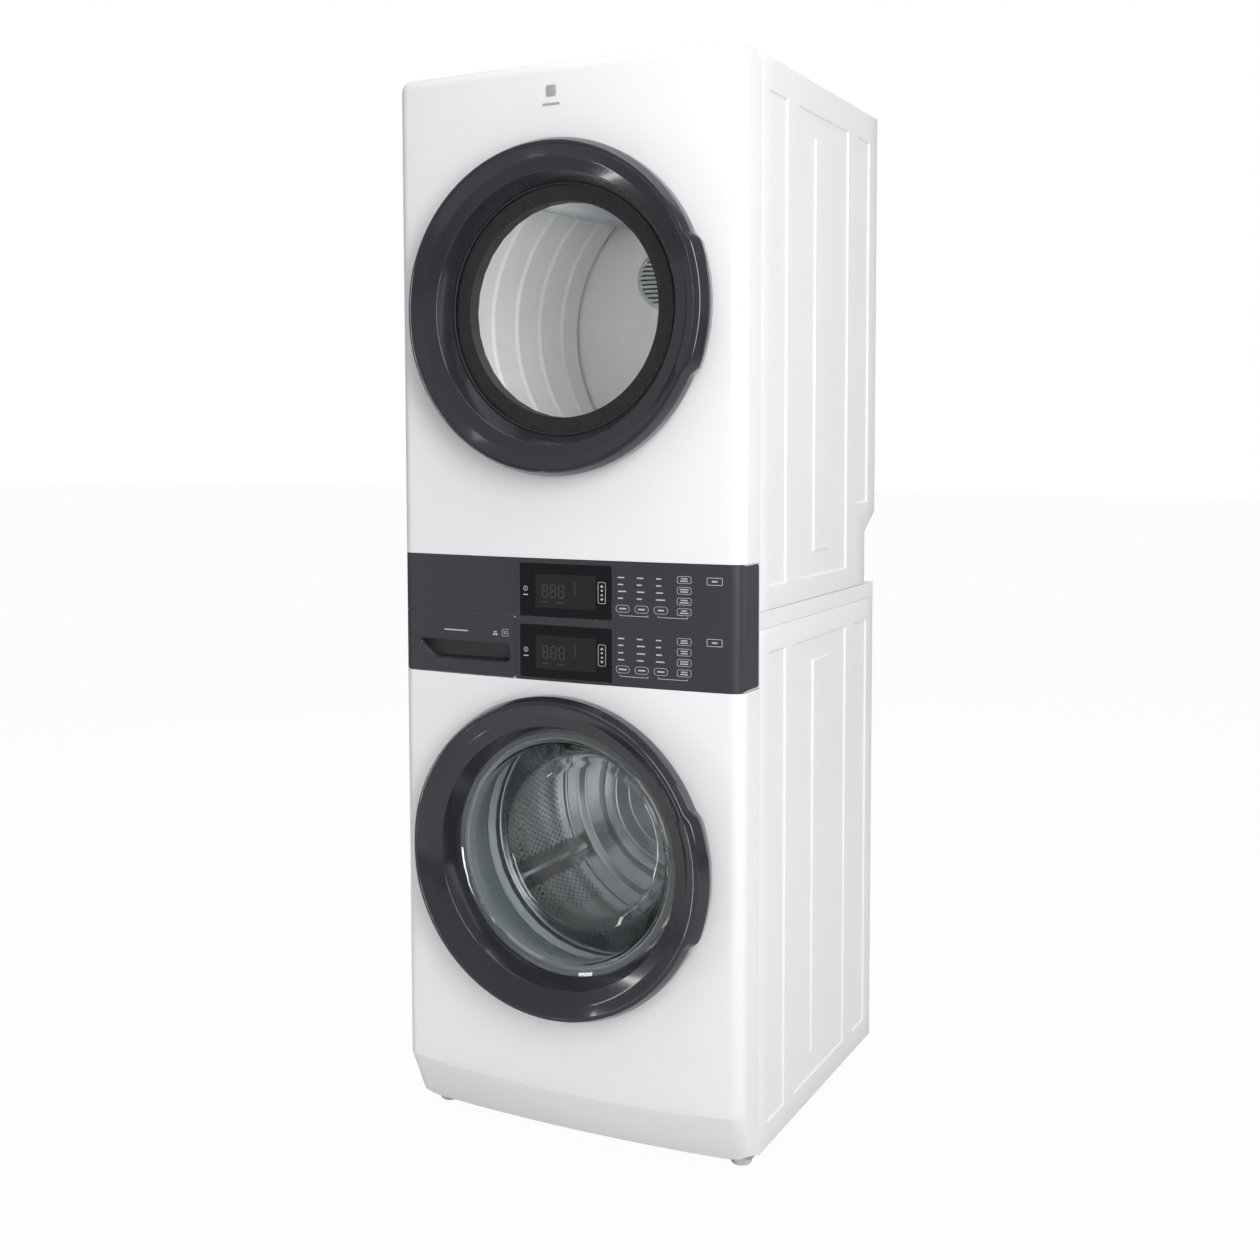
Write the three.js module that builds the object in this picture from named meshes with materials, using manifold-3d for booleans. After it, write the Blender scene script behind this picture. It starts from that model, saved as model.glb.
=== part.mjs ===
// Washer and dryer stack: a front-loading washer under a dryer, with one control console between them.
// Millimetres. +X is the right-hand side seen from the front, -Y the front, +Z up.
// The origin is at floor level, in the middle of the overall width and depth.
import * as THREE from 'three';
import { mergeVertices } from 'three/addons/utils/BufferGeometryUtils.js';
import Module from 'manifold-3d';

const wasm = await Module();
wasm.setup();

// ---------------------------------------------------------------- driving dimensions
const gap = 0.3;                     // between pieces that touch
const sheet = 0.9;                   // steel sheet
const heavySheet = 1.3;              // steel of the floors, the rear bulkhead and the stacking frame
const moulding = 3;                  // plastic wall
const roundness = 32;                // facets of a full turn on large round pieces
const fineness = 12;                 // facets of a full turn on small round pieces

const cabinet = {
  width: 685.8, bodyDepth: 727.5, doorProud: 48.4, ductReach: 36.9,
  washerHeight: 952, railHeight: 31, dryerHeight: 953.75,
  bottom: 22, roofDrop: 6.75, bow: 12.5, cornerRadius: 25, wrapDepth: 91.6, roofRadius: 22,
  washerRearInset: 7.5, stepDepth: 64.5, stepLow: 107, stepHigh: 146,
};
const kick = { centreHeight: 83, endRise: 10, centreBack: 35.6, endBack: 44, lift: 2 };
const emboss = {
  depth: 3,
  front: [40, 125], middle: [175, 457], plateau: [268, 355], rear: [510, 586],
  dryerLow: 40, dryerHigh: 54, dryerRearLow: 166, washerLow: 43, washerHigh: 43, plateauInset: 44,
};
const console_ = {
  drop: 100, rise: 87, cornerRadius: 8, wrapStop: 6.6, thickness: 2.4, carrier: 1.5,
  displayLeft: -82, displayRight: 101, displayHeight: 94, lowerEdge: 5, upperEdge: 9.5, glassProud: 0.4,
};
const drawer = {
  right: -92, height: 112, frontInset: 1, traySide: 20, trayHeight: 76, trayDepth: 246, trayWall: 2.5,
  pocketLeft: 41, pocketWidth: 198, pocketLow: 25, pocketHeight: 35, pocketDepth: 22, housingWall: 2,
  trayClearance: 3,
};
const door = {
  radius: 291, rimRadius: 279, backRadius: 288, backGap: 4.4, stepWidth: 16, stepBack: 24,
  windowRadius: 220, windowBack: 55, glass: 4.5, seatWidth: 9, panelClearance: 4, tubeWall: 3,
  gripRadius: 301.5, gripFrom: -24, gripTo: 22, gripFront: 9.4, gripBack: 34,
  hingeX: -270, hingeBack: 28,
};
const washer = {
  doorHeight: 539, bowlInset: 16.5, bowlTaper: 31.5, bowlDepth: 112,
  drumRadius: 270, drumFront: 153, drumDepth: 360, drumMouth: 216, drumWall: 0.9, shaftRadius: 15,
  lifterHeight: 46, lifterWidth: 56, tubClearance: 20, tubWall: 4, tubFrontGap: 14, tubRearGap: 21,
  collarRadius: 226, collarLength: 17, hubLength: 40, pulleyRadius: 150, pulleyWidth: 16, shaftReach: 96,
  weightInner: 250, weightOuter: 291, weightDepth: 38, gasketInset: 20,
  motorX: -110, motorDrop: 371, motorRadius: 62, motorLength: 130, motorPulley: 12, beltThickness: 3,
  springX: 250, springRadius: 13, damperX: 225, damperRadius: 14, lifterWall: 1.2,
};
const dryer = {
  doorAboveRail: 524, drumRadius: 316, drumWall: 0.9, drumFront: 68, drumDepth: 575, vaneHeight: 64,
  vaneWidth: 60, vaneWall: 1.2, bulkheadBack: 32, mouthRadius: 205, collarGap: 9, collarDepth: 61, rearGap: 7,
  filterHalf: 85, filterTop: -195, filterHeight: 84, filterThickness: 9, filterBack: 50,
  motorX: 125, motorAboveRail: 95, motorRadius: 68, motorLength: 136, pulleyRadius: 9.5, beltWidth: 8,
  beltThickness: 2, blowerRadius: 84, blowerDepth: 76, wheelRadius: 70, ductRadius: 50.8,
  ductAboveRail: 54, rollerRadius: 38, rollerAngle: 35, rollerWidth: 22, rollerPin: 6,
};
const hinge = {
  pin: 4, pinHalf: 46, footNear: 12, footFar: 30, footHalf: 30, foot: 3, armHalf: 10,
  barrelBore: 4.7, barrel: 8.5, barrelLow: 13, barrelHigh: 44, strapNear: 6, strapFar: 14,
  strapFront: 10, strapBack: 6, notchHalf: 12, notchFront: 14, notchReach: 40,
};
// Distances across are from the edge of the door hole.
const hook = {
  near: 18, stem: 6, nose: 10, reach: 22, noseDepth: 6, half: 9, footNear: 12, footFar: 30,
  footDepth: 2.5, footHalf: 14, slotNear: 10, slotFar: 33, slotHalf: 13,
};
const latch = { near: 4, far: 50, front: 11, half: 32, wall: 4 };
const leg = { x: 306, frontBack: 102, rearInset: 27, radius: 19, height: 20, stem: 6, stemTop: 60 };

// ---------------------------------------------------------------- derived places
const halfWidth = cabinet.width / 2;
const overallDepth = cabinet.doorProud + cabinet.bodyDepth + cabinet.ductReach;
const doorFrontY = -overallDepth / 2;
const faceY = doorFrontY + cabinet.doorProud;
const rearY = faceY + cabinet.bodyDepth;
const seamY = faceY + cabinet.wrapDepth;
const washerRearY = rearY - cabinet.washerRearInset;
const stepY = rearY - cabinet.stepDepth;
const ductEndY = overallDepth / 2;
const washerTop = cabinet.washerHeight;
const railTop = washerTop + cabinet.railHeight;
const stackTop = railTop + cabinet.dryerHeight;
const roofZ = stackTop - cabinet.roofDrop;
const consoleLow = washerTop - console_.drop;
const consoleHigh = railTop + console_.rise;
const washerDoorZ = washer.doorHeight;
const dryerDoorZ = railTop + dryer.doorAboveRail;
const insideHalf = halfWidth - sheet - emboss.depth - gap;
const doorBackY = faceY - door.backGap;
const glassY = doorFrontY + door.windowBack;
const glassBackY = glassY + door.glass;
const bowlMouth = door.windowRadius - washer.bowlInset;
const bowlFloor = bowlMouth - washer.bowlTaper;
const stepRadius = door.windowRadius + door.stepWidth;
const hingeY = doorFrontY + door.hingeBack;
const panelHole = door.windowRadius + door.seatWidth + door.tubeWall + door.panelClearance;
const tubInner = washer.drumRadius + washer.tubClearance;
const tubOuter = tubInner + washer.tubWall;
const drumFrontY = faceY + washer.drumFront;
const drumRearY = drumFrontY + washer.drumDepth;
const tubFrontY = drumFrontY - washer.tubFrontGap;
const tubRearY = drumRearY + washer.tubRearGap;
const hubEndY = tubRearY + washer.tubWall + washer.hubLength;
const washerBeltY = drumRearY + washer.shaftReach - washer.pulleyWidth;
const dryerDrumFrontY = faceY + dryer.drumFront;
const dryerDrumRearY = dryerDrumFrontY + dryer.drumDepth;
const bulkheadY = faceY + dryer.bulkheadBack;
const dryerFloorZ = railTop + gap + heavySheet;
const dryerMotorZ = railTop + dryer.motorAboveRail;
const ductZ = railTop + dryer.ductAboveRail;
const blowerFrontY = bulkheadY + 42;
const blowerBackY = blowerFrontY + dryer.blowerDepth;
const dryerBeltY = blowerBackY + 215;

// ---------------------------------------------------------------- finishes
const finish = {
  white: { color: 0xdcdee2, roughness: 0.42, metalness: 0 },
  slate: { color: 0x3a3b42, roughness: 0.4, metalness: 0.1 },
  ring: { color: 0x323338, roughness: 0.38, metalness: 0.1 },
  blackGlass: { color: 0x07080a, roughness: 0.08, metalness: 0 },
  clearGlass: { color: 0x9fb0b8, roughness: 0.05, metalness: 0 },
  steel: { color: 0xb6b8ba, roughness: 0.3, metalness: 0.9 },
  galvanised: { color: 0x9a9ea2, roughness: 0.5, metalness: 0.8 },
  castIron: { color: 0x4b4b4c, roughness: 0.7, metalness: 0.5 },
  aluminium: { color: 0xc3c5c8, roughness: 0.35, metalness: 0.9 },
  greyPlastic: { color: 0x9a9da1, roughness: 0.55, metalness: 0 },
  darkPlastic: { color: 0x26272b, roughness: 0.5, metalness: 0 },
  whitePlastic: { color: 0xe6e8ea, roughness: 0.5, metalness: 0 },
  gasketRubber: { color: 0x7d858c, roughness: 0.6, metalness: 0 },
  blackRubber: { color: 0x17181a, roughness: 0.7, metalness: 0 },
};

// ---------------------------------------------------------------- solids
function solid(geometry) {
  const bare = geometry.clone();
  bare.deleteAttribute('normal');
  bare.deleteAttribute('uv');
  const merged = mergeVertices(bare);
  const vertProperties = new Float32Array(merged.attributes.position.array);
  const triVerts = new Uint32Array(merged.index.array);
  const first = new wasm.Manifold(new wasm.Mesh({ numProp: 3, vertProperties, triVerts }));
  if (first.volume() > 0) return first;
  return new wasm.Manifold(new wasm.Mesh({ numProp: 3, vertProperties, triVerts: triVerts.reverse() }));
}

function block(x0, x1, y0, y1, z0, z1) {
  const box = new THREE.BoxGeometry(x1 - x0, y1 - y0, z1 - z0);
  box.translate((x0 + x1) / 2, (y0 + y1) / 2, (z0 + z1) / 2);
  return solid(box);
}

// A plan outline in (x, y), raised from z0 to z1.
function prismZ(outline, z0, z1) {
  const geometry = new THREE.ExtrudeGeometry(outline, { depth: z1 - z0, bevelEnabled: false });
  geometry.translate(0, 0, z0);
  return solid(geometry);
}

// A front-view outline in (x, z), carried from y0 to y1.
function prismY(outline, y0, y1) {
  const geometry = new THREE.ExtrudeGeometry(outline, { depth: y1 - y0, bevelEnabled: false });
  geometry.rotateX(Math.PI / 2);
  geometry.translate(0, y1, 0);
  return solid(geometry);
}

// A side-view outline in (y, z), carried from x0 to x1.
function prismX(outline, x0, x1) {
  const geometry = new THREE.ExtrudeGeometry(outline, { depth: x1 - x0, bevelEnabled: false });
  const toSide = new THREE.Matrix4().makeBasis(
    new THREE.Vector3(0, 1, 0), new THREE.Vector3(0, 0, 1), new THREE.Vector3(1, 0, 0));
  geometry.applyMatrix4(toSide);
  geometry.translate(x0, 0, 0);
  return solid(geometry);
}

function points(pairs) {
  return pairs.map(([a, b]) => new THREE.Vector2(a, b));
}

function outlineOf(pairs) {
  return new THREE.Shape(points(pairs));
}

// A profile of (radius, y) turned about the Y direction through (x, z).
function turnY(profile, x, z, facets = roundness) {
  const first = profile[0];
  const closed = first[0] === 0 ? profile : [...profile, first];
  const geometry = new THREE.LatheGeometry(points(closed), facets);
  geometry.translate(x, 0, z);
  return solid(geometry);
}

// A profile of (radius, z) turned about the upright through (x, y).
function turnZ(profile, x, y, facets = fineness) {
  const first = profile[0];
  const closed = first[0] === 0 ? profile : [...profile, first];
  const geometry = new THREE.LatheGeometry(points(closed), facets);
  geometry.rotateX(Math.PI / 2);
  geometry.translate(x, y, 0);
  return solid(geometry);
}

function rod(radius, y0, y1, x, z, facets = fineness) {
  return turnY([[0, y0], [radius, y0], [radius, y1], [0, y1]], x, z, facets);
}

function post(radius, z0, z1, x, y, facets = fineness) {
  return turnZ([[0, z0], [radius, z0], [radius, z1], [0, z1]], x, y, facets);
}

function pipe(inner, outer, y0, y1, x, z, facets = roundness) {
  return turnY([[inner, y0], [outer, y0], [outer, y1], [inner, y1]], x, z, facets);
}

function joined(parts) {
  return parts.reduce((whole, part) => whole.add(part));
}

function cut(body, tools) {
  return tools.reduce((left, tool) => left.subtract(tool), body);
}

// A rectangle with rounded corners, in whichever two directions its prism uses.
function roundedRectangle(a0, a1, b0, b1, radius) {
  const shape = new THREE.Shape();
  shape.absarc(a1 - radius, b0 + radius, radius, -Math.PI / 2, 0, false);
  shape.absarc(a1 - radius, b1 - radius, radius, 0, Math.PI / 2, false);
  shape.absarc(a0 + radius, b1 - radius, radius, Math.PI / 2, Math.PI, false);
  shape.absarc(a0 + radius, b0 + radius, radius, Math.PI, Math.PI * 1.5, false);
  return new THREE.Shape(shape.getPoints(4));
}

// ---------------------------------------------------------------- bowed front
function bowAt(x) {
  return cabinet.bow * (x / halfWidth) ** 2;
}

// The front's plan line from the right wrap round to the left one, set in by inset.
function frontLine(inset, backY) {
  const half = halfWidth - inset;
  const radius = cabinet.cornerRadius - inset;
  const flat = half - radius;
  const cornerY = faceY + inset + bowAt(flat) + radius;
  const steps = 12;
  const turns = 4;
  const line = [[half, backY]];
  for (let i = 0; i < turns; i += 1) {
    const angle = (i / turns) * Math.PI / 2;
    line.push([flat + radius * Math.cos(angle), cornerY - radius * Math.sin(angle)]);
  }
  for (let i = 0; i <= steps; i += 1) {
    const x = flat * (1 - 2 * i / steps);
    line.push([x, faceY + inset + bowAt(x)]);
  }
  for (let i = turns - 1; i >= 0; i -= 1) {
    const angle = (i / turns) * Math.PI / 2;
    line.push([-flat - radius * Math.cos(angle), cornerY - radius * Math.sin(angle)]);
  }
  line.push([-half, backY]);
  return line;
}

function frontSheetOutline(outerInset, innerInset, backY) {
  return outlineOf([...frontLine(outerInset, backY), ...frontLine(innerInset, backY).reverse()]);
}

function frontBlock(inset, backY, z0, z1) {
  return prismZ(outlineOf(frontLine(inset, backY)), z0, z1);
}

function frontSheet(outerInset, innerInset, backY, z0, z1) {
  return prismZ(frontSheetOutline(outerInset, innerInset, backY), z0, z1);
}

function doorHole(z) {
  return rod(panelHole, faceY - 10, faceY + 40, 0, z, roundness);
}

// The opening that a door's hook enters.
function hookOpening(y0, y1, z) {
  return block(panelHole + hook.slotNear, panelHole + hook.slotFar, y0, y1,
    z - hook.slotHalf, z + hook.slotHalf);
}

function hookSlot(z) {
  return hookOpening(faceY - 10, faceY + 40, z);
}

// The kick leans back under the fold, which rises towards both ends.
function washerFrontPanel() {
  const low = cabinet.bottom + kick.lift;
  const geometry = new THREE.ExtrudeGeometry(frontSheetOutline(0, sheet, seamY - gap),
    { depth: 2, steps: 2, bevelEnabled: false });
  const position = geometry.attributes.position;
  for (let i = 0; i < position.count; i += 1) {
    const x = position.getX(i);
    const y = position.getY(i);
    const level = Math.round(position.getZ(i));
    const side = Math.min(1, (x / halfWidth) ** 2);
    const fold = cabinet.bottom + kick.centreHeight + kick.endRise * side;
    const reach = Math.min(1, Math.max(0, (seamY - gap - y) / cabinet.wrapDepth * 1.2));
    const back = (kick.centreBack + (kick.endBack - kick.centreBack) * side) * reach;
    if (level === 0) position.setXYZ(i, x, y + back, low);
    if (level === 1) position.setZ(i, fold);
    if (level === 2) position.setZ(i, consoleLow - gap);
  }
  return cut(solid(geometry), [doorHole(washerDoorZ), hookSlot(washerDoorZ)]);
}

function roofProfile(inset) {
  const top = stackTop - inset;
  const radius = cabinet.roofRadius - inset;
  const front = faceY + inset;
  const shape = new THREE.Shape();
  shape.moveTo(front, consoleHigh - 50);
  shape.lineTo(seamY + 50, consoleHigh - 50);
  shape.lineTo(seamY + 50, top);
  shape.absarc(front + radius, top - radius, radius, Math.PI / 2, Math.PI, false);
  return new THREE.Shape(shape.getPoints(6));
}

function dryerFrontPanel() {
  const low = consoleHigh + gap;
  const outer = frontBlock(0, seamY - gap, low, stackTop).intersect(
    prismX(roofProfile(0), -halfWidth, halfWidth));
  const inner = frontBlock(sheet, seamY + 10, low - 10, stackTop - sheet).intersect(
    prismX(roofProfile(sheet), -halfWidth, halfWidth));
  return cut(outer, [inner, doorHole(dryerDoorZ), hookSlot(dryerDoorZ)]);
}

// ---------------------------------------------------------------- console
const displays = [
  { name: 'washer_display', low: consoleLow + console_.lowerEdge },
  { name: 'dryer_display', low: consoleHigh - console_.upperEdge - console_.displayHeight },
];

function displayWindow(low, clearance) {
  return block(console_.displayLeft - clearance, console_.displayRight + clearance,
    faceY - 20, faceY + 20, low - clearance, low + console_.displayHeight + clearance);
}

function drawerOpening(clearance) {
  return block(-halfWidth - 20, drawer.right + clearance, faceY - 20, seamY + 20,
    consoleLow - 20, consoleLow + drawer.height + clearance);
}

function controlPanel() {
  const shell = frontSheet(0, console_.thickness, seamY - console_.wrapStop, consoleLow, consoleHigh);
  const corners = prismY(roundedRectangle(-halfWidth, halfWidth, consoleLow, consoleHigh,
    console_.cornerRadius), faceY - 20, seamY + 20);
  const windows = displays.map(({ low }) => displayWindow(low, gap));
  return cut(shell.intersect(corners), [...windows, drawerOpening(gap)]);
}

function consoleFrame() {
  const inset = console_.thickness + gap;
  const carrier = frontSheet(inset, inset + console_.carrier, seamY - gap, consoleLow, consoleHigh);
  const strips = [-1, 1].map((side) => {
    const outer = side * halfWidth;
    const inner = side * (halfWidth - inset - console_.carrier);
    return block(Math.min(outer, inner), Math.max(outer, inner),
      seamY - console_.wrapStop + gap, seamY - gap, consoleLow, consoleHigh);
  });
  const windows = displays.map(({ low }) => displayWindow(low, gap));
  const drawerHole = block(-halfWidth + 13.5, drawer.right - 4, faceY - 20, faceY + 60,
    consoleLow + 3, consoleLow + drawer.height - 3);
  const drawerWrap = block(-halfWidth - 5, -halfWidth + 14, faceY - 20,
    seamY - console_.wrapStop - 2, consoleLow + 3, consoleLow + drawer.height - 3);
  return cut(joined([carrier, ...strips]), [...windows, drawerHole, drawerWrap]);
}

function displayGlass(low) {
  const shell = frontSheet(-console_.glassProud, console_.thickness - 0.2, seamY - 40,
    consoleLow - 10, consoleHigh + 10);
  return shell.intersect(displayWindow(low, 0));
}

// ---------------------------------------------------------------- detergent drawer
const pocket = {
  x0: -halfWidth + drawer.pocketLeft,
  x1: -halfWidth + drawer.pocketLeft + drawer.pocketWidth,
  z0: consoleLow + drawer.pocketLow,
  z1: consoleLow + drawer.pocketLow + drawer.pocketHeight,
};
const scoopEndY = faceY + drawer.pocketDepth + moulding + 8;
const tray = {
  x0: -halfWidth + drawer.traySide,
  x1: drawer.right - drawer.traySide,
  y0: scoopEndY + 2,
  z0: consoleLow + 14,
};

function drawerFront() {
  const low = consoleLow + drawer.frontInset;
  const high = consoleLow + drawer.height;
  const shell = frontSheet(0, console_.thickness, seamY - console_.wrapStop, low, high);
  const face = shell.intersect(prismY(roundedRectangle(-halfWidth, drawer.right, low, high,
    console_.cornerRadius), faceY - 20, seamY + 20));
  const wall = moulding;
  const scoop = prismY(roundedRectangle(pocket.x0 - wall, pocket.x1 + wall, pocket.z0 - wall,
    pocket.z1 + wall, drawer.pocketHeight / 2), faceY + 12, scoopEndY);
  const hollow = prismY(roundedRectangle(pocket.x0, pocket.x1, pocket.z0, pocket.z1,
    drawer.pocketHeight / 2 - 1), faceY - 20, scoopEndY - wall);
  const rim = prismY(roundedRectangle(pocket.x0 - wall, pocket.x1 + wall, pocket.z0 - wall,
    pocket.z1 + wall, drawer.pocketHeight / 2), faceY, faceY + 14);
  const behind = frontBlock(0.5, seamY, low, high);
  return face.add(rim.add(scoop).intersect(behind)).subtract(hollow);
}

function drawerTray() {
  const wall = drawer.trayWall;
  const y1 = tray.y0 + drawer.trayDepth;
  const z1 = tray.z0 + drawer.trayHeight;
  const body = block(tray.x0, tray.x1, tray.y0, y1, tray.z0, z1);
  return cut(body, compartments().map(([x0, x1, ya, yb]) => (
    block(x0, x1, ya, yb, tray.z0 + wall, z1 + 1))));
}

// Main wash, softener and pre-wash wells of the tray.
function compartments() {
  const wall = drawer.trayWall;
  const y1 = tray.y0 + drawer.trayDepth - wall;
  const middle = (tray.x0 + tray.x1) / 2;
  const split = tray.y0 + 110;
  return [
    [tray.x0 + wall, middle - wall / 2, tray.y0 + wall, y1],
    [middle + wall / 2, tray.x1 - wall, tray.y0 + wall, split],
    [middle + wall / 2, tray.x1 - wall, split + wall, y1],
  ];
}

function dispenserHousing() {
  const clearance = drawer.trayClearance;
  const wall = drawer.housingWall;
  const y0 = scoopEndY + gap;
  const y1 = tray.y0 + drawer.trayDepth + clearance;
  const inner = [tray.x0 - clearance, tray.x1 + clearance];
  const z0 = tray.z0 - clearance;
  const z1 = tray.z0 + drawer.trayHeight + clearance;
  const body = block(inner[0] - wall, inner[1] + wall, y0, y1 + wall, z0 - wall, z1 + wall);
  return body.subtract(block(inner[0], inner[1], y0 - 5, y1, z0, z1));
}

// ---------------------------------------------------------------- cabinet sheets
// Recessed fields and one raised plateau pressed into a side sheet. side is -1 or 1.
function pressedSide(side, outline, fields, plateau) {
  const outer = side * halfWidth;
  const span = (near, far) => {
    const a = outer - side * near;
    const b = outer - side * far;
    return [Math.min(a, b), Math.max(a, b)];
  };
  const slab = (rect, grow, near, far) => block(...span(near, far),
    rect[0] - grow, rect[1] + grow, rect[2] - grow, rect[3] + grow);
  const depth = emboss.depth;
  const flat = prismX(outline, ...span(0, sheet));
  const trays = fields.map((rect) => slab(rect, sheet, sheet / 2, depth + sheet));
  const wells = fields.map((rect) => slab(rect, 0, -1, depth));
  const pressed = cut(joined([flat, ...trays]), wells);
  return pressed.add(slab(plateau, 0, 0, depth + sheet / 2)).subtract(
    slab(plateau, -sheet, sheet, depth + sheet + 1));
}

function field([near, far], z0, z1) {
  return [seamY + near, seamY + far, z0, z1];
}

function washerSide(side) {
  const low = cabinet.bottom;
  const high = washerTop - gap;
  const outline = outlineOf([[seamY, low], [washerRearY, low], [washerRearY, high], [seamY, high]]);
  const z0 = low + emboss.washerLow;
  const z1 = high - emboss.washerHigh;
  const fields = [emboss.front, emboss.middle, emboss.rear].map((band) => field(band, z0, z1));
  return pressedSide(side, outline, fields,
    field(emboss.plateau, z0 + emboss.plateauInset, z1 - emboss.plateauInset));
}

function dryerSide(side) {
  const low = railTop + gap;
  const stepLow = railTop + cabinet.stepLow;
  const stepHigh = railTop + cabinet.stepHigh;
  const outline = outlineOf([[seamY, low], [stepY, low], [stepY, stepLow], [rearY, stepHigh],
    [rearY, roofZ], [seamY, roofZ]]);
  const z0 = low + emboss.dryerLow;
  const z1 = roofZ - emboss.dryerHigh;
  const fields = [field(emboss.front, z0, z1), field(emboss.middle, z0, z1),
    field(emboss.rear, railTop + emboss.dryerRearLow, z1)];
  return pressedSide(side, outline, fields,
    field(emboss.plateau, z0 + emboss.plateauInset, z1 - emboss.plateauInset));
}

const ports = { x: -200, spread: 25, z: washerTop - 60, radius: 16 };

function washerRearPanel() {
  const half = insideHalf;
  const plate = block(-half, half, washerRearY - sheet, washerRearY, cabinet.bottom, washerTop - gap);
  const holes = [-1, 1].map((side) => (
    rod(ports.radius, washerRearY - 10, washerRearY + 10, ports.x + side * ports.spread, ports.z)));
  return cut(plate, holes);
}

function dryerRearPanel() {
  const low = railTop + gap;
  const stepLow = railTop + cabinet.stepLow;
  const stepHigh = railTop + cabinet.stepHigh;
  const outline = outlineOf([[stepY, low], [stepY, stepLow], [rearY, stepHigh], [rearY, roofZ],
    [rearY - sheet, roofZ], [rearY - sheet, stepHigh + 1], [stepY - sheet, stepLow + 1],
    [stepY - sheet, low]]);
  const plate = prismX(outline, -insideHalf, insideHalf);
  return plate.subtract(rod(dryer.ductRadius + 2, stepY - 20, stepY + 20, 0, ductZ, roundness));
}

function dryerTopPanel() {
  const half = halfWidth - sheet - gap;
  const y1 = rearY - sheet - gap;
  const pan = block(-half, half, seamY + gap, y1, roofZ - 18, roofZ);
  return pan.subtract(block(-half + sheet, half - sheet, seamY + sheet, y1 - sheet,
    roofZ - 30, roofZ - sheet));
}

// A channel that runs round between the two machines, with a cross-bar for the tub springs.
function stackFrame() {
  const z0 = washerTop + gap;
  const z1 = railTop - gap;
  const y0 = seamY + gap;
  const y1 = washerRearY;
  const width = 24;
  const wall = heavySheet;
  const ring = block(-halfWidth, halfWidth, y0, y1, z0, z1).subtract(
    block(-halfWidth + width, halfWidth - width, y0 + width, y1 - width, z0 - 5, z1 + 5));
  const groove = block(-halfWidth + wall, halfWidth - wall, y0 + wall, y1 - wall, z0 + wall, z1 - wall);
  const bar = block(-halfWidth + wall, halfWidth - wall, springY - 14, springY + 14, z0, z0 + 12);
  const barHollow = block(-halfWidth + width, halfWidth - width, springY - 12, springY + 12,
    z0 + wall, z0 + 20);
  return ring.subtract(groove).add(bar).subtract(barHollow);
}

function washerBase() {
  const half = insideHalf - gap;
  const z0 = cabinet.bottom + kick.lift;
  const y0 = faceY + 66;
  const y1 = washerRearY - sheet - gap;
  const pan = block(-half, half, y0, y1, z0, z0 + 30).subtract(
    block(-half + heavySheet, half - heavySheet, y0 + heavySheet, y1 - heavySheet,
      z0 + heavySheet, z0 + 40));
  return cut(pan, legPlaces.map(({ x, y }) => post(leg.stem + 1.2, z0 - 5, z0 + 10, x, y)));
}

function dryerBase() {
  const half = insideHalf - 2;
  return block(-half, half, bulkheadY, stepY - sheet - gap,
    railTop + gap, dryerFloorZ);
}

const legPlaces = [
  { name: 'levelling_leg_front_left', x: -leg.x, y: faceY + leg.frontBack },
  { name: 'levelling_leg_front_right', x: leg.x, y: faceY + leg.frontBack },
  { name: 'levelling_leg_rear_left', x: -leg.x, y: washerRearY - leg.rearInset },
  { name: 'levelling_leg_rear_right', x: leg.x, y: washerRearY - leg.rearInset },
];

function levellingLeg({ x, y }) {
  const r = leg.radius;
  return turnZ([[0, 0], [r - 2, 0], [r, 2], [r, leg.height - 2], [r - 3, leg.height],
    [leg.stem, leg.height], [leg.stem, leg.stemTop], [0, leg.stemTop]], x, y);
}

// ---------------------------------------------------------------- doors
// Where the fixed hinge arm passes through the door's back while it swings.
function hingeNotch(z) {
  return block(-door.radius - 10, door.hingeX + hinge.notchReach, hingeY - hinge.notchFront, faceY + 10,
    z - hinge.notchHalf, z + hinge.notchHalf);
}

function doorRing(z) {
  const w = moulding;
  const crest = doorFrontY;
  const wellY = crest + door.stepBack;
  const end = glassY - gap;
  const ring = turnY([
    [door.backRadius, doorBackY], [door.radius, doorBackY - 8], [door.radius, crest + 17],
    [door.rimRadius, crest], [stepRadius, wellY], [door.windowRadius, end],
    [door.windowRadius + 2, end], [stepRadius + 2, wellY + 2],
    [door.rimRadius, crest + w], [door.radius - w, crest + 18], [door.backRadius - w, doorBackY],
  ], 0, z);
  return ring.subtract(hingeNotch(z)).add(doorGrip(z));
}

// The outward bulge on the opening side, which fingers pull from behind.
function doorGrip(z) {
  const from = door.gripFrom * Math.PI / 180;
  const to = door.gripTo * Math.PI / 180;
  const inner = door.radius - 1;
  const steps = 10;
  const arc = (radius, a, b) => Array.from({ length: steps + 1 }, (_, i) => {
    const angle = a + (b - a) * i / steps;
    return [radius * Math.cos(angle), z + radius * Math.sin(angle)];
  });
  const taper = 0.03;
  const outline = outlineOf([...arc(inner, from, to), ...arc(door.gripRadius, to - taper, from + taper)]);
  return prismY(outline, doorFrontY + door.gripFront, doorFrontY + door.gripBack);
}

// The inner shell of a door: a back plate, the tube that enters the cabinet and the lip behind the glass.
function doorLiner(z, collar) {
  const plateOuter = door.backRadius - moulding - gap - 0.6;
  const tubeInner = door.windowRadius + door.seatWidth + gap;
  const tubeOuter = tubeInner + door.tubeWall - gap;
  const lipY = glassBackY + gap;
  const lipEnd = lipY + moulding;
  const plateY = doorBackY - moulding;
  const profile = [
    [plateOuter, plateY], [plateOuter, doorBackY], [tubeOuter, doorBackY], [tubeOuter, lipEnd],
    ...collar(lipEnd), [tubeInner, lipY], [tubeInner, glassY], [tubeInner + 1.4, plateY],
  ];
  return turnY(profile, 0, z, roundness).subtract(hingeNotch(z));
}

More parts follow.
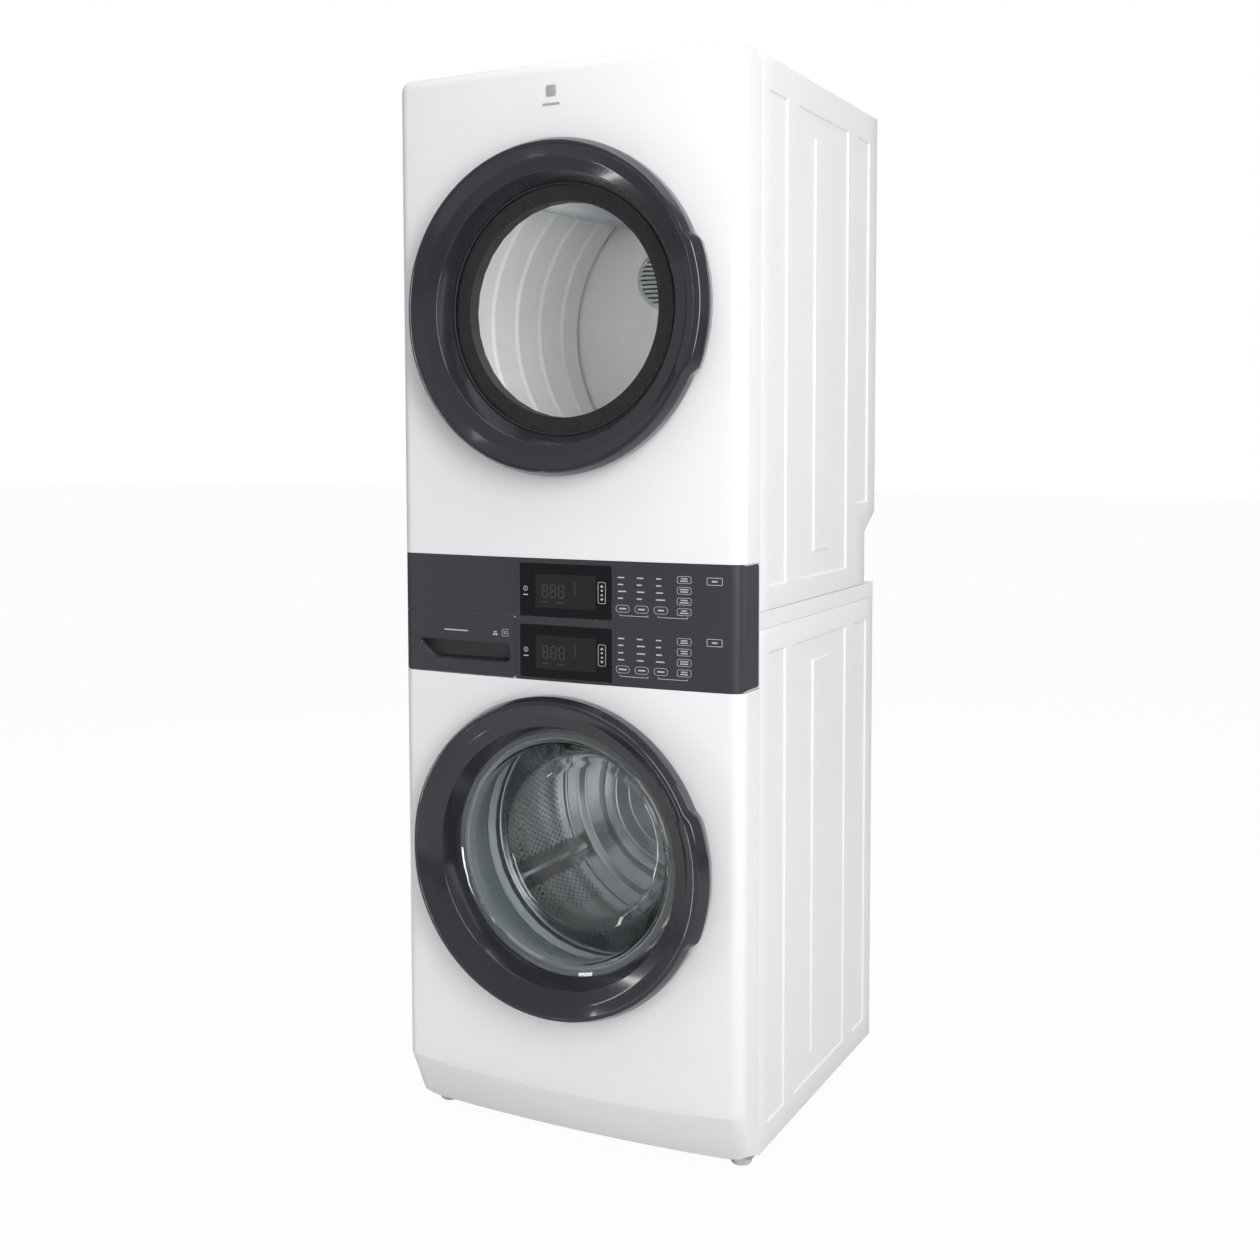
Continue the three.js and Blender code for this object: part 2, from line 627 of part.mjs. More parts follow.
function washerDoorLiner() {
  const lip = bowlMouth + 8;
  return doorLiner(washerDoorZ, (end) => [[lip, end], [lip, end - moulding]]);
}

function dryerDoorLiner() {
  const lip = dryer.mouthRadius - 8;
  return doorLiner(dryerDoorZ, (end) => [
    [lip + 3, end], [lip - 6, end + 26], [lip - 9, end + 26], [lip, end - moulding]]);
}

function washerDoorGlass() {
  const outer = door.windowRadius + door.seatWidth;
  const t = door.glass;
  const floorY = glassY + washer.bowlDepth;
  return turnY([
    [0, floorY - t], [bowlFloor - 30, floorY - t - 5], [bowlFloor - 6, floorY - t - 17],
    [bowlMouth - t, glassY + 8], [bowlMouth - t + 5, glassY], [outer, glassY],
    [outer, glassBackY], [bowlMouth + 4, glassBackY], [bowlMouth, glassBackY + 4],
    [bowlFloor, floorY - 17], [bowlFloor - 26, floorY - 5], [0, floorY],
  ], 0, washerDoorZ, roundness);
}

function dryerDoorGlass() {
  return rod(door.windowRadius + door.seatWidth, glassY, glassBackY, 0, dryerDoorZ, roundness);
}

// Fixed half of a hinge: a foot on the front sheet, an arm and the upright pin.
function hingeBracket(z) {
  const x = door.hingeX;
  const near = x + hinge.footNear;
  const far = x + hinge.footFar;
  const footY = faceY + bowAt(far) - 1;
  const foot = block(near, far, footY - hinge.foot, footY, z - hinge.footHalf, z + hinge.footHalf);
  const arm = prismZ(outlineOf([[near, footY - 2.5], [far, footY - 2.5],
    [x + 2 * hinge.pin, hingeY - hinge.pin], [x - hinge.pin, hingeY - hinge.pin - 0.5],
    [x - 1.5 * hinge.pin, hingeY + hinge.pin / 2]]), z - hinge.armHalf, z + hinge.armHalf);
  return joined([foot, arm, post(hinge.pin, z - hinge.pinHalf, z + hinge.pinHalf, x, hingeY, 16)]);
}

// Moving half: two barrels on the pin, carried by a strap inside the door.
function hingeKnuckle(z) {
  const near = door.hingeX + hinge.strapNear;
  const far = door.hingeX + hinge.strapFar;
  const front = hingeY - hinge.strapFront;
  const strap = block(near, far, front, hingeY - hinge.strapBack, z - hinge.barrelHigh, z + hinge.barrelHigh);
  const halves = [[z - hinge.barrelHigh, z - hinge.barrelLow], [z + hinge.barrelLow, z + hinge.barrelHigh]];
  const barrels = halves.map(([low, high]) => turnZ([[hinge.barrelBore, low], [hinge.barrel, low],
    [hinge.barrel, high], [hinge.barrelBore, high]], door.hingeX, hingeY, 16));
  const tongues = halves.map(([low, high]) => block(near - 0.5, far, front, hingeY + 2, low, high));
  return joined([strap, ...barrels, ...tongues]);
}

function doorHook(z) {
  const y0 = doorBackY + gap;
  const y1 = faceY + hook.reach;
  const x = panelHole + hook.near;
  const stem = block(x, x + hook.stem, y0, y1, z - hook.half, z + hook.half);
  const nose = block(x, x + hook.nose, y1 - hook.noseDepth, y1, z - hook.half, z + hook.half);
  const foot = block(panelHole + hook.footNear, panelHole + hook.footFar, y0, y0 + hook.footDepth,
    z - hook.footHalf, z + hook.footHalf);
  return joined([stem, nose, foot]);
}

function doorLatch(z) {
  const y0 = faceY + latch.front;
  const y1 = bulkheadY - 1;
  return block(panelHole + latch.near, panelHole + latch.far, y0, y1, z - latch.half, z + latch.half)
    .subtract(hookOpening(y0 - 5, y1 - latch.wall, z));
}

// ---------------------------------------------------------------- washer works
const springY = (drumFrontY + drumRearY) / 2;

function washerGasket() {
  const lip = door.windowRadius - washer.gasketInset;
  const front = glassBackY + gap + moulding + 3;
  const collar = washer.collarRadius + gap + 0.4;
  const rear = tubFrontY - washer.tubWall - 1;
  return turnY([
    [panelHole + 3, front], [lip + 6, front], [lip, front + 32], [collar + 12, front + 50],
    [collar, front + 68], [collar, rear], [collar + 3.5, rear], [collar + 3.5, front + 70],
    [collar + 17, front + 49], [lip + 5, front + 28], [lip + 10, front + 4], [panelHole + 3, front + 4],
  ], 0, washerDoorZ, roundness);
}

function washerTub() {
  const w = washer.tubWall;
  const inner = washer.collarRadius - w;
  const bore = washer.shaftRadius + 1;
  return turnY([
    [bore, tubRearY], [tubInner, tubRearY], [tubInner, tubFrontY], [inner, tubFrontY],
    [inner, tubFrontY - w - washer.collarLength], [inner + w, tubFrontY - w - washer.collarLength],
    [inner + w, tubFrontY - w], [tubOuter, tubFrontY - w], [tubOuter, tubRearY + w],
    [bore + 26, tubRearY + w], [bore + 22, hubEndY], [bore, hubEndY],
  ], 0, washerDoorZ, roundness);
}

// One bar's section standing on the inside of a drum wall of the given radius.
function barSection(radius, height, width, foot) {
  return outlineOf([[-width / 2, -radius - foot], [width / 2, -radius - foot], [width / 2, -radius],
    [width / 5, -radius + height], [-width / 5, -radius + height], [-width / 2, -radius]]);
}

function threeRound(section, y0, y1, z, startDegrees) {
  return [0, 1, 2].map((turn) => (
    prismY(section, y0, y1).rotate([0, startDegrees + turn * 120, 0]).translate([0, 0, z])));
}

// A drum shell with three folded bars, open underneath through the drum wall.
function withBars(shell, { radius, height, width, wall, y0, y1, z, start }) {
  const bars = threeRound(barSection(radius, height, width, 0.5), y0, y1, z, start);
  const hollows = threeRound(barSection(radius, height - wall, width - 4 * wall, 10),
    y0 + wall, y1 - wall, z, start);
  return cut(joined([shell, ...bars]), hollows);
}

function washerDrum() {
  const r = washer.drumRadius;
  const w = washer.drumWall;
  const z = washerDoorZ;
  const shell = turnY([
    [0, drumRearY - w], [r - 9, drumRearY - w], [r - w, drumRearY - 8], [r - w, drumFrontY + 10],
    [r - 9, drumFrontY + w], [washer.drumMouth, drumFrontY + w], [washer.drumMouth, drumFrontY],
    [r - 7, drumFrontY], [r, drumFrontY + 9], [r, drumRearY - 7], [r - 7, drumRearY],
    [washer.shaftRadius, drumRearY], [washer.shaftRadius, drumRearY + washer.shaftReach],
    [0, drumRearY + washer.shaftReach],
  ], 0, z);
  return withBars(shell, { radius: r - w - 1, height: washer.lifterHeight, width: washer.lifterWidth,
    wall: washer.lifterWall, y0: drumFrontY + 22, y1: drumRearY - 22, z, start: 60 });
}

function drumPulley() {
  const r = washer.pulleyRadius;
  const y0 = washerBeltY;
  const y1 = washerBeltY + washer.pulleyWidth;
  const bore = washer.shaftRadius + 0.6;
  return turnY([
    [bore, y0 - 4], [bore + 16, y0 - 4], [bore + 20, y0 + 5], [r - 6, y0 + 5], [r - 6, y0],
    [r, y0], [r, y1], [r - 6, y1], [r - 6, y0 + 10], [bore + 18, y0 + 10], [bore, y1 - 2],
  ], 0, washerDoorZ, roundness);
}

// The outline of a belt round two pulleys, both seen from the front: { x, z, r } each.
function beltOutline(large, small, grow) {
  const dx = small.x - large.x;
  const dz = small.z - large.z;
  const distance = Math.hypot(dx, dz);
  const toSmall = Math.atan2(dz, dx);
  const open = Math.acos((large.r - small.r) / distance);
  const step = Math.PI * 2 / roundness;
  const arc = ({ x, z, r }, from, to) => {
    const count = Math.max(2, Math.ceil((to - from) / step));
    const radius = (r + grow) / Math.cos((to - from) / count / 2);
    return Array.from({ length: count + 1 }, (_, i) => {
      const angle = from + (to - from) * i / count;
      return [x + radius * Math.cos(angle), z + radius * Math.sin(angle)];
    });
  };
  return [...arc(large, toSmall + open, toSmall + Math.PI * 2 - open),
    ...arc(small, toSmall - open, toSmall + open)];
}

function belt(large, small, clearance, thickness, y0, y1) {
  const outer = prismY(outlineOf(beltOutline(large, small, clearance + thickness)), y0, y1);
  const inner = prismY(outlineOf(beltOutline(large, small, clearance)), y0 - 5, y1 + 5);
  return outer.subtract(inner);
}

const washerMotorZ = washerDoorZ - washer.motorDrop;

function washerBelt() {
  return belt({ x: 0, z: washerDoorZ, r: washer.pulleyRadius },
    { x: washer.motorX, z: washerMotorZ, r: washer.motorPulley },
    gap + 0.1, washer.beltThickness, washerBeltY + 1, washerBeltY + washer.pulleyWidth - 1);
}

function washerMotor() {
  const y1 = washerBeltY - 36;
  const y0 = y1 - washer.motorLength;
  const r = washer.motorRadius;
  const can = turnY([[0, y0], [r - 12, y0], [r, y0 + 12], [r, y1 - 12], [r - 12, y1], [9, y1],
    [9, y1 - 40], [0, y1 - 40]], washer.motorX, washerMotorZ, 24);
  const strut = block(washer.motorX - 12, washer.motorX + 12, y0 + 20, y1 - 20,
    washerMotorZ + r - 4, washerDoorZ - 200);
  const tub = rod(tubOuter + gap + 0.7, y0 - 20, y1 + 20, 0, washerDoorZ, roundness);
  return can.add(strut.subtract(tub));
}

function washerMotorPulley() {
  const y0 = washerBeltY - 66;
  return turnY([[0, y0], [7.5, y0], [7.5, washerBeltY], [washer.motorPulley, washerBeltY],
    [washer.motorPulley, washerBeltY + washer.pulleyWidth], [0, washerBeltY + washer.pulleyWidth]],
  washer.motorX, washerMotorZ);
}

function counterweight() {
  const y1 = tubFrontY - washer.tubWall - gap;
  return pipe(washer.weightInner, washer.weightOuter, y1 - washer.weightDepth, y1, 0, washerDoorZ);
}

// Height of the tub's outside above its axis at a distance x from the middle.
function tubRise(x) {
  return Math.sqrt(tubOuter ** 2 - x ** 2);
}

function tubSpring(side) {
  const foot = washerDoorZ + tubRise(washer.springX - washer.springRadius) + 2;
  return post(washer.springRadius, foot, washerTop - 1, side * washer.springX, springY, 12);
}

function tubDamper(side) {
  const head = washerDoorZ - tubRise(washer.damperX - washer.damperRadius) - 2;
  const floor = cabinet.bottom + kick.lift + 2.5;
  return turnZ([[0, floor], [washer.damperRadius, floor], [washer.damperRadius, head - 110],
    [8, head - 108], [8, head], [0, head]], side * washer.damperX, springY, 16);
}

// ---------------------------------------------------------------- dryer works
function dryerDrum() {
  const r = dryer.drumRadius;
  const w = dryer.drumWall;
  const shell = pipe(r - w, r, dryerDrumFrontY, dryerDrumRearY, 0, dryerDoorZ);
  return withBars(shell, { radius: r - w - 1, height: dryer.vaneHeight, width: dryer.vaneWidth,
    wall: dryer.vaneWall, y0: dryerDrumFrontY + 45, y1: dryerDrumRearY - 12, z: dryerDoorZ, start: 25 });
}

// The plate behind the dryer's front sheet, its mouth, the collar in the drum and the lint chute.
function dryerFrontBulkhead() {
  const z = dryerDoorZ;
  const y0 = bulkheadY;
  const y1 = y0 + 3;
  const half = insideHalf - gap;
  const collarOuter = dryer.drumRadius - dryer.drumWall - dryer.collarGap;
  const low = dryerMotorZ + dryer.blowerRadius + 2;
  const plate = block(-half, half, y0, y1, low, roofZ - 22);
  const collar = pipe(collarOuter - 3, collarOuter, y0 + 1, y0 + dryer.collarDepth, 0, z);
  const chuteHalf = dryer.filterHalf + 8;
  const chuteTop = z - Math.sqrt(collarOuter ** 2 - chuteHalf ** 2) + 8;
  const chute = block(-chuteHalf, chuteHalf, y1 - 1, y0 + 34, low, chuteTop).subtract(
    block(-chuteHalf + 3, chuteHalf - 3, y1, y0 + 31, low - 5, chuteTop + 5));
  const inner = rod(collarOuter - 3, y1, y0 + 100, 0, z, roundness);
  const slot = block(-chuteHalf + 3, chuteHalf - 3, y1, y0 + 31, low, z - 200);
  const mouth = rod(dryer.mouthRadius, y0 - 5, y1 + 5, 0, z, roundness);
  return cut(joined([plate, collar, chute.subtract(inner)]), [mouth, slot]);
}

function lintFilter() {
  const top = dryerDoorZ + dryer.filterTop;
  const y0 = faceY + dryer.filterBack;
  const y1 = y0 + dryer.filterThickness;
  const half = dryer.filterHalf;
  const body = block(-half, half, y0, y1, top - dryer.filterHeight, top - 2);
  const handle = block(-40, 40, y0, y1 + 8, top - 8, top);
  const screens = [-1, 1].map((side) => block(Math.min(side * 5, side * (half - 6)),
    Math.max(side * 5, side * (half - 6)), y0 + 3, y0 + 20, top - dryer.filterHeight + 6, top - 14));
  return cut(body.add(handle), screens);
}

function dryerRearBulkhead() {
  const y0 = dryerDrumRearY + dryer.rearGap;
  const half = insideHalf - gap;
  const low = railTop + cabinet.stepHigh + 12;
  const plate = block(-half, half, y0, y0 + heavySheet, low, roofZ - 22);
  const inlet = rod(60, y0 - 5, y0 + 10, -120, dryerDoorZ + 110, 32);
  const pins = rollerPlaces.map(({ x, z }) => (
    rod(dryer.rollerPin, rollerY - 4, y0 + 1, x, z)));
  return joined([plate.subtract(inlet), ...pins]);
}

const rollerY = dryerDrumRearY - 50;
const rollerPlaces = [-1, 1].map((side) => {
  const reach = dryer.drumRadius + dryer.rollerRadius + 0.5;
  const angle = dryer.rollerAngle * Math.PI / 180;
  return {
    name: side < 0 ? 'drum_roller_left' : 'drum_roller_right',
    x: side * reach * Math.sin(angle),
    z: dryerDoorZ - reach * Math.cos(angle),
  };
});

function drumRoller({ x, z }) {
  const r = dryer.rollerRadius;
  return pipe(dryer.rollerPin + 0.7, r, rollerY, rollerY + dryer.rollerWidth, x, z, 24);
}

function dryerBelt() {
  return belt({ x: 0, z: dryerDoorZ, r: dryer.drumRadius },
    { x: dryer.motorX, z: dryerMotorZ, r: dryer.pulleyRadius },
    gap + 0.1, dryer.beltThickness, dryerBeltY, dryerBeltY + dryer.beltWidth);
}

function dryerMotor() {
  const y0 = blowerBackY + 22;
  const y1 = y0 + dryer.motorLength;
  const r = dryer.motorRadius;
  const can = turnY([[8, y0], [r - 14, y0], [r, y0 + 12], [r, y1 - 12], [r - 14, y1], [8, y1]],
    dryer.motorX, dryerMotorZ, 24);
  const cradle = block(dryer.motorX - 50, dryer.motorX + 50, y0 + 20, y1 - 20,
    dryerFloorZ + gap, dryerMotorZ - 50);
  return can.add(cradle);
}

// The motor's shaft with the blower wheel at its front end and the belt pulley at its rear end.
function dryerMotorShaft() {
  const y0 = blowerFrontY + 14;
  const y1 = dryerBeltY + dryer.beltWidth + 2;
  const disc = y0 + 46;
  const x = dryer.motorX;
  const z = dryerMotorZ;
  const spindle = turnY([[0, y0], [12, y0], [12, disc], [dryer.wheelRadius, disc],
    [dryer.wheelRadius, disc + 3], [12, disc + 3], [6, disc + 8], [6, dryerBeltY - 2],
    [dryer.pulleyRadius, dryerBeltY - 2], [dryer.pulleyRadius, y1], [0, y1]], x, z);
  const blades = Array.from({ length: 8 }, (_, i) => (
    block(38, dryer.wheelRadius - 2, y0, disc + 1, -1, 1).rotate([0, i * 45, 0]).translate([x, 0, z])));
  return joined([spindle, ...blades]);
}

function blowerHousing() {
  const x = dryer.motorX;
  const z = dryerMotorZ;
  const r = dryer.blowerRadius;
  const wall = 2;
  const y0 = blowerFrontY;
  const y1 = blowerBackY;
  const low = dryerFloorZ + gap;
  const volute = rod(r, y0, y1, x, z, 36);
  const outlet = block(-dryer.ductRadius - 4, x, y0, y1, low, ductZ + dryer.ductRadius + 2);
  const inside = rod(r - wall, y0 + wall, y1 - wall, x, z, 36).add(block(-dryer.ductRadius - 2, x,
    y0 + wall, y1 - wall, low + wall, ductZ + dryer.ductRadius));
  const floor = block(-400, 400, y0 - 5, y1 + 5, low - 60, low);
  const intake = rod(44, y0 - 5, y0 + 10, x, z, 28);
  const shaftHole = rod(10, y1 - 10, y1 + 5, x, z);
  const ductHole = rod(dryer.ductRadius - 3, y1 - 10, y1 + 5, 0, ductZ, roundness);
  return cut(volute.add(outlet), [floor, inside, intake, shaftHole, ductHole]);
}

function exhaustDuct() {
  return pipe(dryer.ductRadius - 1.2, dryer.ductRadius, blowerBackY + gap, ductEndY, 0, ductZ);
}

// ---------------------------------------------------------------- assembly
const stack = new THREE.Group();

function place(name, look, body) {
  const data = body.getMesh();
  const geometry = new THREE.BufferGeometry();
  geometry.setAttribute('position', new THREE.BufferAttribute(data.vertProperties, 3));
  geometry.setIndex(new THREE.BufferAttribute(data.triVerts, 1));
  geometry.computeVertexNormals();
  const mesh = new THREE.Mesh(geometry, new THREE.MeshStandardMaterial(finish[look]));
  mesh.name = name;
  stack.add(mesh);
}

place('washer_front_panel', 'white', washerFrontPanel());
place('dryer_front_panel', 'white', dryerFrontPanel());
place('control_panel', 'slate', controlPanel());
place('console_frame', 'white', consoleFrame());
displays.forEach(({ name, low }) => place(name, 'blackGlass', displayGlass(low)));
place('washer_side_left', 'white', washerSide(-1));
place('washer_side_right', 'white', washerSide(1));
place('dryer_side_left', 'white', dryerSide(-1));
place('dryer_side_right', 'white', dryerSide(1));
place('washer_rear_panel', 'galvanised', washerRearPanel());
place('dryer_rear_panel', 'galvanised', dryerRearPanel());
place('dryer_top_panel', 'white', dryerTopPanel());
place('stack_frame', 'white', stackFrame());
place('washer_base', 'galvanised', washerBase());
place('dryer_base', 'galvanised', dryerBase());
legPlaces.forEach((spot) => place(spot.name, 'galvanised', levellingLeg(spot)));

place('drawer_front', 'slate', drawerFront());
place('drawer_tray', 'whitePlastic', drawerTray());
place('dispenser_housing', 'greyPlastic', dispenserHousing());

place('washer_door_ring', 'ring', doorRing(washerDoorZ));
place('washer_door_glass', 'clearGlass', washerDoorGlass());
place('washer_door_liner', 'darkPlastic', washerDoorLiner());
place('washer_door_hook', 'steel', doorHook(washerDoorZ));
place('washer_door_knuckle', 'steel', hingeKnuckle(washerDoorZ));
place('washer_hinge_bracket', 'steel', hingeBracket(washerDoorZ));
place('washer_door_lock', 'darkPlastic', doorLatch(washerDoorZ));

place('dryer_door_ring', 'ring', doorRing(dryerDoorZ));
place('dryer_door_glass', 'clearGlass', dryerDoorGlass());
place('dryer_door_liner', 'darkPlastic', dryerDoorLiner());
place('dryer_door_hook', 'steel', doorHook(dryerDoorZ));
place('dryer_door_knuckle', 'steel', hingeKnuckle(dryerDoorZ));
place('dryer_hinge_bracket', 'steel', hingeBracket(dryerDoorZ));
place('dryer_door_latch', 'darkPlastic', doorLatch(dryerDoorZ));

place('washer_gasket', 'gasketRubber', washerGasket());
place('washer_tub', 'greyPlastic', washerTub());
place('counterweight', 'castIron', counterweight());
place('washer_drum', 'steel', washerDrum());
place('drum_pulley', 'aluminium', drumPulley());
place('washer_belt', 'blackRubber', washerBelt());
place('washer_motor', 'aluminium', washerMotor());
place('washer_motor_pulley', 'steel', washerMotorPulley());
place('tub_spring_left', 'steel', tubSpring(-1));
place('tub_spring_right', 'steel', tubSpring(1));
place('tub_damper_left', 'darkPlastic', tubDamper(-1));
place('tub_damper_right', 'darkPlastic', tubDamper(1));

place('dryer_drum', 'steel', dryerDrum());
place('dryer_front_bulkhead', 'greyPlastic', dryerFrontBulkhead());
place('dryer_rear_bulkhead', 'galvanised', dryerRearBulkhead());
place('lint_filter', 'greyPlastic', lintFilter());
rollerPlaces.forEach((spot) => place(spot.name, 'blackRubber', drumRoller(spot)));
place('dryer_belt', 'blackRubber', dryerBelt());
place('dryer_motor', 'aluminium', dryerMotor());
place('dryer_motor_shaft', 'steel', dryerMotorShaft());
place('blower_housing', 'darkPlastic', blowerHousing());
place('exhaust_duct', 'galvanised', exhaustDuct());

export default stack;
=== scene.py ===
"""Washer and dryer stack: the finished look of a laundry tower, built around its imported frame.

Lengths are in metres. The front faces -y, z is up, and the floor is at z = 0.
"""
from __future__ import annotations

import logging
import math
import random
from dataclasses import dataclass
from enum import Enum
from typing import Iterable, Sequence

import bmesh
import bpy
from mathutils import Matrix, Vector


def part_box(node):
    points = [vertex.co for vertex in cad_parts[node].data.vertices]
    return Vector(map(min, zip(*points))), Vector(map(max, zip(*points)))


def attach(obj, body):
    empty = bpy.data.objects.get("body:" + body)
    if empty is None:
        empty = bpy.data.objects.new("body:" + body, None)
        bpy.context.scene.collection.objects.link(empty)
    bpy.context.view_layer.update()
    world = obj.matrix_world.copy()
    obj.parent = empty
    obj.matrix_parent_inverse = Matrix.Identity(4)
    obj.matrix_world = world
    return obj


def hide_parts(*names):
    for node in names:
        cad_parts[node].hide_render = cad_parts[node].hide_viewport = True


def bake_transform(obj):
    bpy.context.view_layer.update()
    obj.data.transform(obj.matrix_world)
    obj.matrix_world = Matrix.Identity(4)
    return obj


log = logging.getLogger("laundry_tower")
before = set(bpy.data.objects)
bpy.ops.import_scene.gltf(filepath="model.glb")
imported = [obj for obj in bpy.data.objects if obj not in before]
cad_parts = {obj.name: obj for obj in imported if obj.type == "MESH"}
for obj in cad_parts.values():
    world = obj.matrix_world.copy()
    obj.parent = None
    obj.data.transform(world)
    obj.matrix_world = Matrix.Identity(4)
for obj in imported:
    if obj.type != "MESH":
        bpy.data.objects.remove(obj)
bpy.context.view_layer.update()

Pair = tuple[float, float]
Corner = tuple[float, float, float]
Value = float | tuple[float, ...]
Solid = bmesh.types.BMesh
Piece = bpy.types.Object
Material = bpy.types.Material
NodeTree = bpy.types.NodeTree
Socket = bpy.types.NodeSocket


# ------------------------------------------------------------------ places read from the frame
@dataclass(frozen=True)
class Layout:
    """Sizes that every sub-assembly shares, in metres."""

    half_width: float
    face_y: float
    seam_y: float
    dryer_rear: float
    washer_rear: float
    washer_top: float
    rail_top: float
    top: float
    roof: float
    console_low: float
    console_high: float
    washer_door: float
    dryer_door: float
    door_front: float
    bow: float = 0.0125
    corner: float = 0.025

    def bow_at(self, x: float) -> float:
        """How far the front falls back at x."""
        return self.bow * min(1.0, (x / self.half_width) ** 2)


def middle(node: str, axis: int) -> float:
    """Return the middle of a CAD node's box along one axis."""
    low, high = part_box(node)
    return (low[axis] + high[axis]) / 2


def read_layout() -> Layout:
    """Read the shared sizes off the frame's nodes.

    Returns:
        The layout.
    """
    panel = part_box("dryer_front_panel")
    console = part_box("control_panel")
    return Layout(
        half_width=panel[1][0],
        face_y=panel[0][1],
        seam_y=panel[1][1] + 0.0003,
        dryer_rear=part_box("dryer_side_right")[1][1],
        washer_rear=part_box("washer_side_right")[1][1],
        washer_top=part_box("stack_frame")[0][2] - 0.0003,
        rail_top=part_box("stack_frame")[1][2] + 0.0003,
        top=panel[1][2],
        roof=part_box("dryer_top_panel")[1][2],
        console_low=console[0][2],
        console_high=console[1][2],
        washer_door=middle("washer_door_glass", 2),
        dryer_door=middle("dryer_door_glass", 2),
        door_front=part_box("washer_door_ring")[0][1],
    )


# ------------------------------------------------------------------ finishes
def start_material(label: str) -> tuple[Material, bool]:
    """Find a material, or start it with the standard shader.

    Args:
        label: The material's name.

    Returns:
        The material, and whether it is new.
    """
    found = bpy.data.materials.get(label)
    if found:
        return found, False
    made = bpy.data.materials.new(label)
    made.use_nodes = True
    return made, True


def feed(node: bpy.types.Node, values: dict[str | int, Value], links: dict[str | int, Socket]) -> None:
    """Set a node's plain values and link its other inputs.

    Args:
        node: The node.
        values: Value of each plain input.
        links: Socket that feeds each linked input.
    """
    for key, value in values.items():
        node.inputs[key].default_value = value
    for key, socket in links.items():
        node.id_data.links.new(socket, node.inputs[key])


def add_node(tree: NodeTree, kind: str, values: dict[str | int, Value] | None = None,
             links: dict[str | int, Socket] | None = None) -> bpy.types.Node:
    """Add one shader node.

    Args:
        tree: The material's node tree.
        kind: The node's type after its common prefix.
        values: Value of each plain input.
        links: Socket that feeds each linked input.

    Returns:
        The node.
    """
    node = tree.nodes.new("ShaderNode" + kind)
    feed(node, values or {}, links or {})
    return node


def add_ramp(tree: NodeTree, factor: Socket, low: tuple[float, ...],
             high: tuple[float, ...], span: Pair = (0.0, 1.0)) -> Socket:
    """Add a ramp between two colours.

    Args:
        tree: The material's node tree.
        factor: What drives it.
        low: Red, green and blue at its start.
        high: Red, green and blue at its end.
        span: Where it starts and ends.

    Returns:
        Its colour output.
    """
    ramp = add_node(tree, "ValToRGB", links={"Fac": factor})
    for stop, colour, position in zip(ramp.color_ramp.elements, (low, high), span):
        stop.color = (*colour, 1)
        stop.position = position
    return ramp.outputs["Color"]


class Grain(Enum):
    """What the fine surface of a finish looks like."""

    ENAMEL = "enamel"
    MOULDED = "moulded"
    BRUSHED = "brushed"
    SPANGLE = "spangle"
    CAST = "cast"


@dataclass(frozen=True)
class Finish:
    """One material: its colour, gloss and fine grain."""

    name: str
    color: Corner
    roughness: float
    grain: Grain
    metallic: float = 0.0
    variation: float = 0.06
    bump: float = 0.08
    scale: float = 900.0
    coat: float = 0.0
    specular: float = 0.5
    broad_scale: float = 7.0
    contrast: Pair = (0.3, 0.7)
    gloss_change: float = 0.12
    relief: float = 0.0004

    def material(self) -> Material:
        """Build the material once and reuse it.

        Returns:
            The material.
        """
        made, new = start_material("finish_" + self.name)
        if not new:
            return made
        tree = made.node_tree
        place = add_node(tree, "TexCoord").outputs["Object"]
        drawn = add_node(tree, "Mapping", {"Scale": self.stretch()}, {"Vector": place}).outputs["Vector"]
        fine = self.texture(tree, drawn)
        broad = add_node(tree, "TexNoise", {"Scale": self.broad_scale, "Detail": 5.0},
                         {"Vector": place}).outputs[0]
        mixed = add_node(tree, "Mix", {"Factor": 0.5}, {"A": broad, "B": fine}).outputs["Result"]
        low, high = ([min(1.0, c * (1 + way * self.variation)) for c in self.color] for way in (-1, 1))
        start, end = self.contrast
        rough = add_node(tree, "MapRange", {
            "From Min": start, "From Max": end, "To Min": self.roughness * (1 - self.gloss_change),
            "To Max": min(1.0, self.roughness * (1 + self.gloss_change))}, {"Value": mixed})
        relief = add_node(tree, "Bump", {"Strength": self.bump, "Distance": self.relief}, {"Height": fine})
        feed(tree.nodes["Principled BSDF"], {
            "Metallic": self.metallic, "Coat Weight": self.coat, "Coat Roughness": 0.08,
            "Specular IOR Level": self.specular}, {
            "Base Color": add_ramp(tree, mixed, low, high, self.contrast), "Roughness": rough.outputs["Result"],
            "Normal": relief.outputs["Normal"]})
        return made

    def stretch(self) -> Corner:
        """How the grain is drawn out along each direction."""
        return (1.0, 0.03, 1.0) if self.grain is Grain.BRUSHED else (1.0, 1.0, 1.0)

    def texture(self, tree: NodeTree, place: Socket) -> Socket:
        """Add the fine grain's texture.

        Args:
            tree: The material's node tree.
            place: Where the texture is read.

        Returns:
            Its height output.
        """
        values = {"Scale": self.scale}
        cells = self.grain in (Grain.SPANGLE, Grain.CAST)
        if not cells:
            values["Detail"] = 3.0
        return add_node(tree, "TexVoronoi" if cells else "TexNoise", values, {"Vector": place}).outputs[0]


